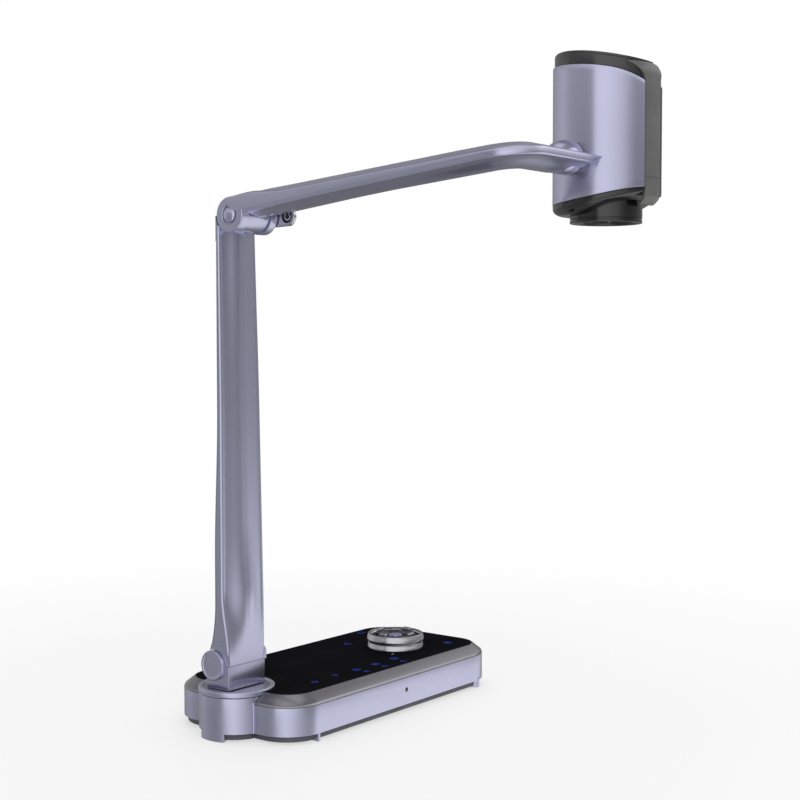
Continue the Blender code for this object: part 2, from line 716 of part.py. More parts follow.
def build_turntable():
    inner = CAP_R - CAP_RIM
    profile = [
        (CAP_R - 0.3, CAP_Z),
        (CAP_R, CAP_Z + 0.3),
        (CAP_R, CAP_TOP - 1.2),
        (CAP_R - 0.4, CAP_TOP - 0.4),
        (CAP_R - 1.4, CAP_TOP),
        (inner + 1.0, CAP_TOP),
        (inner, CAP_TOP - 0.8),
        (inner, CAP_Z),
    ]
    piece("turntable_cap", turned(profile, ring=True), LAVENDER)
    piece("turntable_disc", rod(inner - SEAT, CAP_Z, DISC_TOP), LAVENDER)
    piece("swivel_pin", rod(SWIVEL_R, BALLAST_Z + 1, CAP_Z - SEAT, steps=SWIVEL_STEPS, bevel=0.5), STEEL)

    low = DISC_TOP + SEAT
    corners = [
        (BRACKET_FRONT, low, 1.0),
        (BRACKET_BACK, low, 1.0),
        (BRACKET_BACK, BRACKET_TOP, 0),
        (BRACKET_FRONT, BRACKET_TOP, 0.6),
    ]
    bracket = piece("foot_bracket", prism(filleted(corners), -COLUMN_HALF, COLUMN_HALF, "X", 0.4), LAVENDER)
    hinge = (0, HINGE_Y, HINGE_Z)
    ear_in = COLUMN_HALF - EAR_THICK
    for side, name in ((-1, "left"), (1, "right")):
        ends = sorted((side * (ear_in - 1), side * (COLUMN_HALF - INSET)))
        join(bracket, f"bracket_ear_{name}", rod(EAR_R, *ends, hinge, "X", bevel=0.3))
        ends = sorted((side * (COLUMN_HALF + SEAT), side * (COLUMN_HALF + SEAT + HINGE_CAP_THICK)))
        face, rim = ends if side > 0 else ends[::-1]
        back = side * 1.0
        profile = [
            (0, face),
            (HINGE_CAP_R - 0.3, face),
            (HINGE_CAP_R, face + back * 0.3),
            (HINGE_CAP_R, rim - back * 1.2),
            (HINGE_CAP_R - 1.2, rim),
            (HINGE_CAP_R - 2.4, rim),
            (HINGE_CAP_R - 2.9, rim - back * 0.5),
            (0, rim - back * 0.5),
        ]
        piece(f"hinge_cap_{name}", turned(profile, hinge, "X"), LAVENDER)
    pocket = ear_in
    cut(bracket, "bracket_pocket", rod(EAR_R + SEAT, -pocket, pocket, hinge, "X"))
    cut(bracket, "bracket_axle_bore", rod(AXLE_R + RUN_FIT, -30, 30, hinge, "X", PIN_STEPS))
    axle_half = COLUMN_HALF - 0.2
    piece("lower_axle", rod(AXLE_R, -axle_half, axle_half, hinge, "X", PIN_STEPS, 0.4), STEEL)


# ---------------------------------------------------------------- fluted section

SECTION = (0.0, 0.15, 0.3, 0.45, 0.6, 0.72, 0.81, 0.9, 1.0)
EDGE_BAND = 0.9
FLUTE_DIP = 0.07
EDGE_ROUND = 0.5


def swell(t):
    """How far across from the edge's level to the crown's the surface stands, at t from middle to edge."""
    t = abs(t)
    if t >= EDGE_BAND:
        return 0.0
    rise = 0.5 * (1 + math.cos(math.pi * min(1.0, max(0.0, (t - 0.08) / 0.76))))
    start = 0.68
    dip = FLUTE_DIP * math.sin(math.pi * (t - start) / (EDGE_BAND - start)) if t > start else 0.0
    return rise - dip


def fluted_row(edge, crown):
    """(t, level) from one edge to the other: an edge band, a flute, the crown, and the same again."""
    ts = [-t for t in reversed(SECTION[1:])] + list(SECTION)
    back = EDGE_ROUND if crown < edge else -EDGE_ROUND
    return [(t, mix(edge, crown, swell(t)) + (back if abs(t) == 1 else 0)) for t in ts]


# ---------------------------------------------------------------- column


def column_front(z):
    flare = smooth(BRACKET_TOP, BRACKET_TOP + FLARE_FRONT_HIGH, z)
    return mix(mix(BRACKET_FRONT, SHANK_FRONT, flare), HEAD_FRONT, smooth(BACK_STEP_TOP, SHOULDER_Z, z))


def column_crown(z):
    return mix(BRACKET_FRONT, COLUMN_CROWN, smooth(BRACKET_TOP, BRACKET_TOP + FLARE_FRONT_HIGH, z))


def column_back(z):
    t = min(1.0, max(0.0, (z - BRACKET_TOP) / FLARE_BACK_HIGH))
    shank = mix(BRACKET_BACK, SHANK_BACK, 1 - (1 - t) ** 2)
    return shank * (1 - smooth(BACK_STEP_LOW, BACK_STEP_TOP, z))


def build_column():
    low = BRACKET_TOP + SEAT
    steps = 17
    heights = [low + (SHOULDER_Z - low) * (i / steps) ** 1.5 for i in range(steps + 1)]
    step_low = COVER_LOW - SEAT
    step_top = COVER_TOP + SEAT
    heights = sorted(heights + [step_low, step_low + 0.05, step_top - 0.05, step_top])
    rings = []
    for z in heights:
        half = COLUMN_HALF
        covered = step_low < z < step_top
        back = column_back(z) - (COVER_THICK + SEAT if covered else 0)
        ring = [(t * half, y, z) for t, y in fluted_row(column_front(z), column_crown(z))]
        rings.append(ring + [(half, back, z), (-half, back, z)])
    shell = piece("column_shell", loft(rings), LAVENDER, COLUMN_FRAME)
    hinge = (0, HINGE_Y, HINGE_Z)
    inside = COLUMN_HALF - EAR_THICK - SEAT
    for side, name in ((-1, "left"), (1, "right")):
        ends = sorted((side * inside, side * (COLUMN_HALF + 5)))
        cut(shell, f"ear_room_{name}", rod(HINGE_CAP_R + SEAT, *ends, hinge, "X"), COLUMN_FRAME)
    join(shell, "lower_knuckle", rod(EAR_R - SEAT, INSET - inside, inside - INSET, hinge, "X"), COLUMN_FRAME)
    cut(shell, "column_axle_bore", rod(AXLE_R + RUN_FIT, -30, 30, hinge, "X", PIN_STEPS), COLUMN_FRAME)
    elbow = (0, ELBOW_Y, ELBOW_Z)
    for side, name in ((-1, "left"), (1, "right")):
        ends = sorted((side * KNUCKLE_HALF, side * (COLUMN_HALF + 5)))
        cut(shell, f"cheek_room_{name}", rod(CHEEK_R + SLIP, *ends, elbow, "X"), COLUMN_FRAME)
    knuckle = rod(KNUCKLE_R, INSET - KNUCKLE_HALF, KNUCKLE_HALF - INSET, elbow, "X", bevel=0.3)
    join(shell, "elbow_knuckle", knuckle, COLUMN_FRAME)
    cut(shell, "elbow_bore", rod(ELBOW_PIN_R + RUN_FIT, -30, 30, elbow, "X", PIN_STEPS), COLUMN_FRAME)

    rings = []
    count = 14
    for i in range(count + 1):
        z = mix(COVER_LOW, COVER_TOP, (i / count) ** 1.2)
        back = column_back(z)
        half = COLUMN_HALF
        front = back - COVER_THICK
        rings.append(
            [
                (-half, front, z),
                (half, front, z),
                (half, back - EDGE_ROUND, z),
                (half - EDGE_ROUND, back, z),
                (-half + EDGE_ROUND, back, z),
                (-half, back - EDGE_ROUND, z),
            ]
        )
    piece("column_cover", loft(rings), LAVENDER, COLUMN_FRAME)


# ---------------------------------------------------------------- arm


def arm_stations(start):
    """(outer, inner) rail points in the arm's plane, from the elbow round the corner to the wrist's end."""
    inner_s = ARM_LENGTH - ARM_END_WIDE
    bend_out = (-ARM_HALF + ARM_OUTER_R, ARM_LENGTH - ARM_OUTER_R)
    bend_in = (ARM_HALF + ARM_INNER_R, inner_s - ARM_INNER_R)
    steps = 14
    stations = []
    for i in range(steps):
        s = start + (bend_in[1] - 14 - start) * (i / (steps - 1)) ** 1.5
        stations.append(((-ARM_HALF, s), (ARM_HALF, s)))
    steps = 9
    for i in range(steps + 1):
        angle = i / steps * math.pi / 2
        reach = (-math.cos(angle), math.sin(angle))
        outer = (bend_out[0] + ARM_OUTER_R * reach[0], bend_out[1] + ARM_OUTER_R * reach[1])
        inner = (bend_in[0] + ARM_INNER_R * reach[0], bend_in[1] + ARM_INNER_R * reach[1])
        stations.append((outer, inner))
    for k in (0.35, 0.7, 1.0):
        stations.append(
            ((mix(bend_out[0], ARM_END_X, k), ARM_LENGTH), (mix(bend_in[0], ARM_END_X, k), inner_s))
        )
    return stations


def arm_ring(station, rows):
    """A section across two rail points. The arm's own frame has -Y along it and +Z off its plane."""
    (x0, s0), (x1, s1) = station
    return [(mix(x0, x1, (t + 1) / 2), -mix(s0, s1, (t + 1) / 2), up) for t, up in rows]


def build_arm():
    split_top = ARM_SPLIT + SEAT / 2
    split_under = ARM_SPLIT - SEAT / 2
    rings = []
    for station in arm_stations(0.0):
        root = 1 - smooth(0, ROOT_FADE, station[0][1])
        edge = mix(ARM_EDGE_TOP, CHEEK_R - 0.6, root)
        crown = mix(ARM_CROWN_TOP, CHEEK_R - 0.2, root)
        rings.append(arm_ring(station, fluted_row(edge, crown) + [(1, split_top), (-1, split_top)]))
    shell = piece("arm_shell", loft(rings), LAVENDER, ARM_FRAME, local=True)
    for side, name in ((-1, "left"), (1, "right")):
        ends = sorted((side * (CHEEK_IN - 1), side * (ARM_HALF - INSET)))
        join(shell, f"cheek_{name}", rod(CHEEK_R, *ends, axis="X", bevel=0.3), ARM_FRAME, True)
    room = rod(CHEEK_R + INSET, -CHEEK_IN, CHEEK_IN, axis="X")
    cut(shell, "knuckle_room", room, ARM_FRAME, True)
    bore = rod(ELBOW_PIN_R + RUN_FIT, -30, 30, axis="X", steps=PIN_STEPS)
    cut(shell, "elbow_pin_bore", bore, ARM_FRAME, True)

    rings = []
    for station in arm_stations(CHEEK_R + 2 * SEAT):
        rows = fluted_row(ARM_EDGE_UNDER, ARM_CROWN_UNDER)
        rings.append(arm_ring(station, rows + [(1, split_under), (-1, split_under)]))
    cover = piece("arm_cover", loft(rings), LAVENDER, ARM_FRAME, local=True)
    for target, name in ((shell, "shell"), (cover, "cover")):
        cut(target, f"pod_room_{name}", pod(SEAT, ARM_END_X + 5), ARM_FRAME, True)

    half = ARM_HALF - 0.2
    pin = rod(ELBOW_PIN_R, -half, half, axis="X", steps=PIN_STEPS, bevel=0.4)
    piece("elbow_pin", pin, STEEL, ARM_FRAME, True)
    face = -ARM_HALF - SEAT
    rim = face - ELBOW_CAP_THICK
    profile = [(0, face), (ELBOW_CAP_R, face), (ELBOW_CAP_R, rim + 0.6), (ELBOW_CAP_R - 0.6, rim), (0, rim)]
    piece("elbow_cap", turned(profile, axis="X", steps=40), LAVENDER, ARM_FRAME, True)
    build_ear()
    build_wrist()


def build_ear():
    """The ear plate on the arm's right cheek carries a round boss forward of the elbow, level at rest."""
    boss = Matrix.Rotation(PITCH, 3, "X") @ Vector((0, -EAR_REACH, 0))
    lean = math.atan2(boss.z, boss.y)
    back_r = EAR_BOSS_R + 0.7
    outline = arc(0, 0, back_r, lean + math.pi / 2, lean + 1.5 * math.pi, 16)
    outline += arc(boss.y, boss.z, EAR_BOSS_R, lean - math.pi / 2, lean + math.pi / 2, 16)
    low = ARM_HALF + SEAT
    ear = piece("elbow_ear", prism(outline, low, low + EAR_PLATE, "X"), LAVENDER, ARM_FRAME, True)
    ring = EAR_RING_R
    outer = ring + EAR_RING_WIDE
    profile = [(ring, low - 1), (outer, low - 1), (outer, low + 1), (ring, low + 1)]
    cut(ear, "ear_groove", turned(profile, boss, "X", 32, ring=True), ARM_FRAME, True)


def pod(grow, end):
    """The wrist pod's egg, with its axis along X, cut off flat at end."""
    profile = []
    steps = 10
    mouth = min(end, ARM_END_X)
    start = POD_X - POD_HALF - grow
    for i in range(steps + 1):
        x = mix(start, mouth, 1 - math.cos(i / steps * math.pi / 2))
        swing = min(1.0, abs(x - POD_X) / (POD_HALF + grow))
        profile.append(((POD_R + grow) * math.sqrt(1 - swing * swing), x))
    profile[0] = (0, start)
    if end > mouth:
        profile.append((profile[-1][0], end))
    profile.append((0, end))
    return turned(profile, (0, -WRIST_S, POD_UP), "X", 32)


def build_wrist():
    axis_at = (0, -WRIST_S, POD_UP)
    flange_in = ARM_END_X - FLANGE_THICK
    body = piece("wrist_pod", pod(0, flange_in - SEAT), LAVENDER, ARM_FRAME, True)
    pin_in = POD_X - 8
    bore = rod(WRIST_PIN_R + RUN_FIT, pin_in - 1, ARM_END_X + 5, axis_at, "X", PIN_STEPS)
    cut(body, "pod_bore", bore, ARM_FRAME, True)
    outer = POD_R * math.sqrt(1 - ((ARM_END_X - POD_X) / POD_HALF) ** 2)
    inner = WRIST_PIN_R + RUN_FIT
    profile = [
        (inner, flange_in),
        (outer - 0.3, flange_in),
        (outer, flange_in + 0.3),
        (outer, ARM_END_X - 0.6),
        (outer - 0.6, ARM_END_X),
        (inner, ARM_END_X),
    ]
    piece("wrist_flange", turned(profile, axis_at, "X", 32, ring=True), DARK_METAL, ARM_FRAME, True)
    pin_end = HEAD_X - HEAD_R - 2 * SEAT
    pin = rod(WRIST_PIN_R, pin_in, pin_end, axis_at, "X", PIN_STEPS, 0.3)
    piece("wrist_pin", pin, STEEL, ARM_FRAME, True)


# ---------------------------------------------------------------- head


def round_ring(radius, height, steps=ROUND_STEPS):
    """A ring about the head's axis, its height a function of the distance to the back."""
    ring = []
    for i in range(steps):
        angle = math.tau * i / steps
        back = radius * math.sin(angle)
        ring.append((HEAD_X + radius * math.cos(angle), HEAD_Y + back, height(back)))
    return ring


def forward(back):
    """0 at the head's back and 1 at its front."""
    return (HEAD_R - back) / (2 * HEAD_R)


def sleeve_top(back):
    return SLEEVE_TOP - SLEEVE_TOP_DROP * forward(back) ** 2 - SLEEVE_TOP_HOOK * forward(back) ** 12


def sleeve_low(back):
    return SLEEVE_LOW + SLEEVE_LOW_RISE * forward(back) ** 2


def rim_top(back):
    return RIM_TOP - RIM_DROP * forward(back) ** 2


def bezel_low(back):
    return BEZEL_LOW + BEZEL_RISE * forward(back) ** 3


def bezel_side(back):
    return min(sleeve_low(back) - SEAT - BEZEL_SIDE, bezel_low(back) + BEZEL_SIDE)


def panel_loft(grow):
    """The front panel's wrapped strip. It flares into a swoosh at the top. Grown, it is its own cutter."""
    outer = HEAD_R + PANEL_PROUD + grow
    inner = HEAD_R - HEAD_WALL - grow
    if grow:
        outer += 3
    heights = [PANEL_LOW - grow, PANEL_LOW + PANEL_CHAMFER, PANEL_LOW + PANEL_CHAMFER + 2]
    heights += [mix(PANEL_FLARE_Z, PANEL_TOP, (i / 8)) for i in range(9)]
    if grow:
        heights.append(RIM_TOP + 10)
    rings = []
    for z in heights:
        t = min(1.0, max(0.0, (z - PANEL_FLARE_Z) / (PANEL_TOP - PANEL_FLARE_Z)))
        wide = math.radians(mix(PANEL_HALF_ANGLE, PANEL_FLARE_ANGLE, t**2.8)) + grow / HEAD_R
        draw = PANEL_TOP_DRAW * max(0.0, t - 0.55) ** 2
        low_draw = PANEL_CHAMFER if z < PANEL_LOW + 1 else 0.0
        middle = -math.pi / 2
        face = outer - (0 if grow else draw + low_draw * 0.7)
        ring = arc(HEAD_X, HEAD_Y, face, middle - wide, middle + wide, 12)
        ring += arc(HEAD_X, HEAD_Y, inner - draw - low_draw * 0.55, middle + wide, middle - wide, 12)
        rings.append([(x, y, z) for x, y in ring])
    return loft(rings)


def build_head():
    inner = HEAD_R - HEAD_WALL
    rings = [
        round_ring(HEAD_R - 0.4, sleeve_low),
        round_ring(HEAD_R, lambda back: sleeve_low(back) + 0.4),
        round_ring(HEAD_R, lambda back: sleeve_top(back) - 0.4),
        round_ring(HEAD_R - 0.4, sleeve_top),
        round_ring(inner, sleeve_top),
        round_ring(inner, sleeve_low),
    ]
    sleeve = piece("head_sleeve", loft(rings, loop=True), LAVENDER, HEAD_FRAME)
    rings = [
        round_ring(inner - RIM_IN, lambda back: sleeve_top(back) + SEAT + 2),
        round_ring(HEAD_R - RIM_IN, lambda back: sleeve_top(back) + SEAT),
        round_ring(HEAD_R - RIM_IN, lambda back: rim_top(back) - RIM_ROUND),
        round_ring(HEAD_R - RIM_IN - 0.9, lambda back: rim_top(back) - 0.9),
        round_ring(HEAD_R - RIM_IN - RIM_ROUND, rim_top),
        round_ring(HEAD_R * 0.55, lambda back: rim_top(back) + 1.4),
        round_ring(HEAD_R * 0.2, lambda back: rim_top(back) + 1.9),
    ]
    cap = piece("head_cap", loft(rings), BLACK_GLOSS, HEAD_FRAME)
    bore = LENS_R + SEAT
    rings = [
        round_ring(HEAD_R - 0.2, lambda back: sleeve_low(back) - SEAT),
        round_ring(HEAD_R - 0.4, bezel_side),
        round_ring(BEZEL_INNER_R, bezel_low),
        round_ring(bore, bezel_low),
        round_ring(bore, lambda back: sleeve_low(back) - SEAT),
    ]
    bezel = piece("head_bezel", loft(rings, loop=True), BLACK_MATT, HEAD_FRAME)
    piece("head_front_panel", panel_loft(0), GREY, HEAD_FRAME)
    for target, name in ((sleeve, "sleeve"), (cap, "cap"), (bezel, "bezel")):
        cut(target, f"panel_room_{name}", panel_loft(SEAT), HEAD_FRAME)

    axis = (HEAD_X, HEAD_Y, 0)
    roof = LENS_LOW + LENS_RECESS
    profile = [
        (LENS_R - 0.8, LENS_LOW),
        (LENS_R, LENS_LOW + 0.8),
        (LENS_R, LENS_TOP),
        (0, LENS_TOP),
        (0, roof),
        (LENS_RECESS_R, roof),
        (LENS_RECESS_R, LENS_LOW + 0.8),
        (LENS_RECESS_R + 0.8, LENS_LOW),
    ]
    piece("lens_barrel", turned(profile, axis, ring=True), BLACK_MATT, HEAD_FRAME)
    top = roof - SEAT
    inside = GLASS_R + SEAT
    outside = LENS_RECESS_R - SEAT
    step = LENS_LOW + 4.4
    profile = [(inside, top), (outside, top), (outside, LENS_LOW + 2), (inside + 2, step), (inside, step)]
    piece("lens_ring", turned(profile, axis, ring=True), BLACK_MATT, HEAD_FRAME)
    profile = [(0, top), (GLASS_R, top), (GLASS_R, top - 1.6)]
    for i in range(1, 7):
        angle = i * math.pi / 12
        profile.append((GLASS_R * math.cos(angle), top - 1.6 - 2.8 * math.sin(angle)))
    profile[-1] = (0, top - 4.4)
    piece("lens_glass", turned(profile, axis, steps=48), LENS, HEAD_FRAME)

    low = LENS_TOP + SEAT
    corner = Vector((BLOCK_X / 2, BLOCK_Y / 2, 0))
    centre = Vector((HEAD_X, HEAD_Y, low))
    top_corner = centre + corner + Vector((0, 0, BLOCK_HIGH))
    piece("camera_block", rounded_box(centre - corner, top_corner, 4), BLACK_MATT, HEAD_FRAME)
    board = Vector((BLOCK_X / 2 - 3, BLOCK_Y / 2 - 3, 0))
    board_low = centre + Vector((0, 0, BLOCK_HIGH + SEAT))
    board_high = board_low + board + Vector((0, 0, BOARD_THICK))
    piece("sensor_board", rounded_box(board_low - board, board_high, 2), BOARD_GREEN, HEAD_FRAME)
    build_cradle()


def build_cradle():
    """The saddle between the wrist and the head's round side, with a pointed horn at each end."""
    seat_r = HEAD_R + SEAT
    reach = CRADLE_HALF
    front = CRADLE_Y - reach
    back = CRADLE_Y + reach
    start = ARM_END_X + 2 * SEAT
    swing_front = math.asin((front - HEAD_Y) / seat_r)
    swing_back = math.asin((back - HEAD_Y) / seat_r)
    hollow = arc(HEAD_X, HEAD_Y, seat_r, math.pi - swing_front, math.pi - swing_back, 16)
    left = filleted(
        [
            hollow[-1] + (0,),
            (start + 7, back, 3),
            (start, WRIST_Y + 11, 3),
            (start, WRIST_Y - 11, 3),
            (start + 7, front, 3),
            hollow[0] + (0,),
        ]
    )
    outline = hollow[1:-1] + left
    middle = Vector((start + 7, CRADLE_Y))
    low = WRIST_Z - CRADLE_THICK / 2
    levels = [(0, 0.97), (0.6, 1)]
    for groove in (2.4, 5.0):
        levels += [(groove, 1), (groove, 0.96), (groove + 0.6, 0.96), (groove + 0.6, 1)]
    levels += [(CRADLE_THICK - 0.6, 1), (CRADLE_THICK, 0.97)]
    rings = []
    for number, (up, scale) in enumerate(levels):
        ring = []
        for x, y in outline:
            moved = middle + (Vector((x, y)) - middle) * scale
            across = max(start, moved.x) if moved.x < x else min(x, moved.x)
            ring.append((across, moved.y, low + up + number * 0.001))
        rings.append(ring)
    cradle = piece("head_cradle", loft(rings), LAVENDER, HEAD_FRAME)
    bore = rod(WRIST_PIN_R + RUN_FIT, ARM_END_X - 2, HEAD_X, (0, WRIST_Y, WRIST_Z), "X", PIN_STEPS)
    cut(cradle, "cradle_bore", bore, HEAD_FRAME)


for old in list(bpy.data.objects):
    bpy.data.objects.remove(old)
PARTS = collection("document_camera")
CUTTERS = collection("cutters")
build_base()
build_dial()
build_turntable()
build_column()
build_arm()
build_head()
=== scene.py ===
"""Looks of a desk document camera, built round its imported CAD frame.

Lengths are in millimetres until a piece is made. +X runs along the base, -Y is the front and +Z is up.
"""

import json
import logging
import math
from dataclasses import dataclass
from enum import Enum
from typing import Callable, Iterable, Sequence

import bmesh
import bpy
from mathutils import Matrix, Vector

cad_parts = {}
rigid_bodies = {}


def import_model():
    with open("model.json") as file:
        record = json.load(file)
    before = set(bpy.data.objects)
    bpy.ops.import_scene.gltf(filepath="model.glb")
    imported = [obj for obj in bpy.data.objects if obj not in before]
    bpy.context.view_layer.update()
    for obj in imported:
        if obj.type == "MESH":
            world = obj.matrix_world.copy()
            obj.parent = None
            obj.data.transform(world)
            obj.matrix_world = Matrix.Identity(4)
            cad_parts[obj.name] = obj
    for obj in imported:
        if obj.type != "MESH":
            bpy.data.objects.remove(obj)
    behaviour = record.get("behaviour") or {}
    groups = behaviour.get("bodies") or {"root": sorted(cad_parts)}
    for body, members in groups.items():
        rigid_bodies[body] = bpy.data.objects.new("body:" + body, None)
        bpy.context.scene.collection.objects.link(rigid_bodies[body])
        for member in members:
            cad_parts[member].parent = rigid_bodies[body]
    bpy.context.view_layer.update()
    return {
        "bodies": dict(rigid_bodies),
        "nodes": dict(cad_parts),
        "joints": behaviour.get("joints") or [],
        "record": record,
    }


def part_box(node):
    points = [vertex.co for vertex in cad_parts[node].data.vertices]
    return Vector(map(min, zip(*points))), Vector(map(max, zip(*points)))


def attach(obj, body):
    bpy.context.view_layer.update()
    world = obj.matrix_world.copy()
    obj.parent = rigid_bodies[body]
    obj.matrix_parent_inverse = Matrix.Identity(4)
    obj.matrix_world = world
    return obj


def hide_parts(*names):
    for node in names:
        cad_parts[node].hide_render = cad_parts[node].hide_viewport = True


MM = 0.001
GAP = 0.3  # between pieces that fit together
HAIR = 0.04  # how far print stands off its ground
SIDES = ((-1, "left"), (1, "right"))

COLUMN_HALF = 20.2  # half the width of the column and of the bracket under it
EAR_THICK = 6.9  # of the bracket's ears
BRACKET_BACK = 12.2  # the bracket's rear face
CHEEK_R = 13.6  # the arm's cheeks, which the column's rooms follow
LOG = logging.getLogger("document_camera")

Point2 = tuple[float, float]
Point3 = tuple[float, float, float]
Colour = tuple[float, float, float]
Height = Callable[[float], float]
Ramp = tuple[Point2, ...]
Socket = bpy.types.NodeSocket


class Body(Enum):
    """The CAD bodies that pieces ride on."""

    BASE = "base"
    JOG = "jog_dial"
    KEY_1 = "key_1"
    KEY_2 = "key_2"
    KEY_3 = "key_3"
    KEY_4 = "key_4"
    KEY_CENTRE = "key_centre"
    TURNTABLE = "turntable"
    COLUMN = "column"
    ARM = "arm"
    HEAD = "head"


class Slot(Enum):
    """The record's material slots."""

    METAL = "lavender_metal"
    SHELL = "lavender_shell"
    DARK_PLASTIC = "dark_plastic"
    DARK_METAL = "dark_metal"
    RUBBER = "rubber"
    IRON = "iron"
    BOARD = "circuit_board"
    STEEL = "steel"
    MATT = "black_matt"
    GLOSS = "black_gloss"
    GREY = "grey_plastic"
    KEY = "key_dark"
    BLUE = "key_blue"
    LENS = "lens_glass"


class Axis(Enum):
    """The axis that a turned solid is turned about."""

    X = "X"
    Y = "Y"
    Z = "Z"


# ---------------------------------------------------------------- outlines


def arc(x: float, y: float, radius: float, start: float, end: float, steps: int) -> list[Point2]:
    """Lays points on an arc.

    Args:
        x, y: the centre.
        radius: the arc's radius.
        start, end: its angles in radians.
        steps: how many chords it has.

    Returns:
        The points, both ends among them.
    """
    angles = [start + (end - start) * i / steps for i in range(steps + 1)]
    return [(x + radius * math.cos(a), y + radius * math.sin(a)) for a in angles]


def filleted(corners: Sequence[Point3], steps: int = 8) -> list[Point2]:
    """Rounds the corners of an outline.

    Args:
        corners: (x, y, radius) of each corner in order, its radius 0 where it stays sharp.
        steps: how many chords each rounding has.

    Returns:
        The outline's points.
    """
    points: list[Point2] = []
    for i, (x, y, radius) in enumerate(corners):
        here = Vector((x, y))
        if not radius:
            points.append((x, y))
            continue
        back = (Vector(corners[i - 1][:2]) - here).normalized()
        ahead = (Vector(corners[(i + 1) % len(corners)][:2]) - here).normalized()
        half = back.angle(ahead) / 2
        centre = here + (back + ahead).normalized() * (radius / math.sin(half))
        start = here + back * (radius / math.tan(half)) - centre
        end = here + ahead * (radius / math.tan(half)) - centre
        first = math.atan2(start.y, start.x)
        sweep = (math.atan2(end.y, end.x) - first + math.pi) % math.tau - math.pi
        points += arc(centre.x, centre.y, radius, first, first + sweep, steps)
    return points


def smooth(low: float, high: float, value: float) -> float:
    """Gives 0 below low, 1 above high and an S curve between."""
    t = min(1.0, max(0.0, (value - low) / (high - low)))
    return t * t * (3 - 2 * t)


def mix(a: float, b: float, t: float) -> float:
    """Gives the value a share t of the way from a to b."""
    return a + (b - a) * t


def rounding(radius: float, steps: int = 4) -> list[Point2]:
    """Gives (inset, rise) pairs that turn a wall over into a flat top."""
    angles = [i / steps * math.pi / 2 for i in range(steps + 1)]
    return [(radius * (1 - math.cos(a)), radius * math.sin(a)) for a in angles]


def edged(low: float, high: float, radius: float, steps: int = 4) -> list[Point2]:
    """Gives (inset, height) levels of a wall whose two edges are rounded."""
    turn = rounding(radius, steps)
    under = [(inset, low + radius - rise) for inset, rise in reversed(turn)]
    return under + [(inset, high - radius + rise) for inset, rise in turn]


def offset(radius: float, level: float, steps: Iterable[Point2]) -> list[Point2]:
    """Gives (radius, level) points from (out, up) steps off a radius and a level."""
    return [(radius + out, level + up) for out, up in steps]


def domed(radius: float, level: float, high: float, parts: int, count: int) -> list[Point2]:
    """Gives (radius, level) points up a dome from its rim, in parts of half a turn."""
    angles = [k * math.pi / parts for k in range(count)]
    return [(radius * math.cos(a), level + high * math.sin(a)) for a in angles]


# ---------------------------------------------------------------- solids


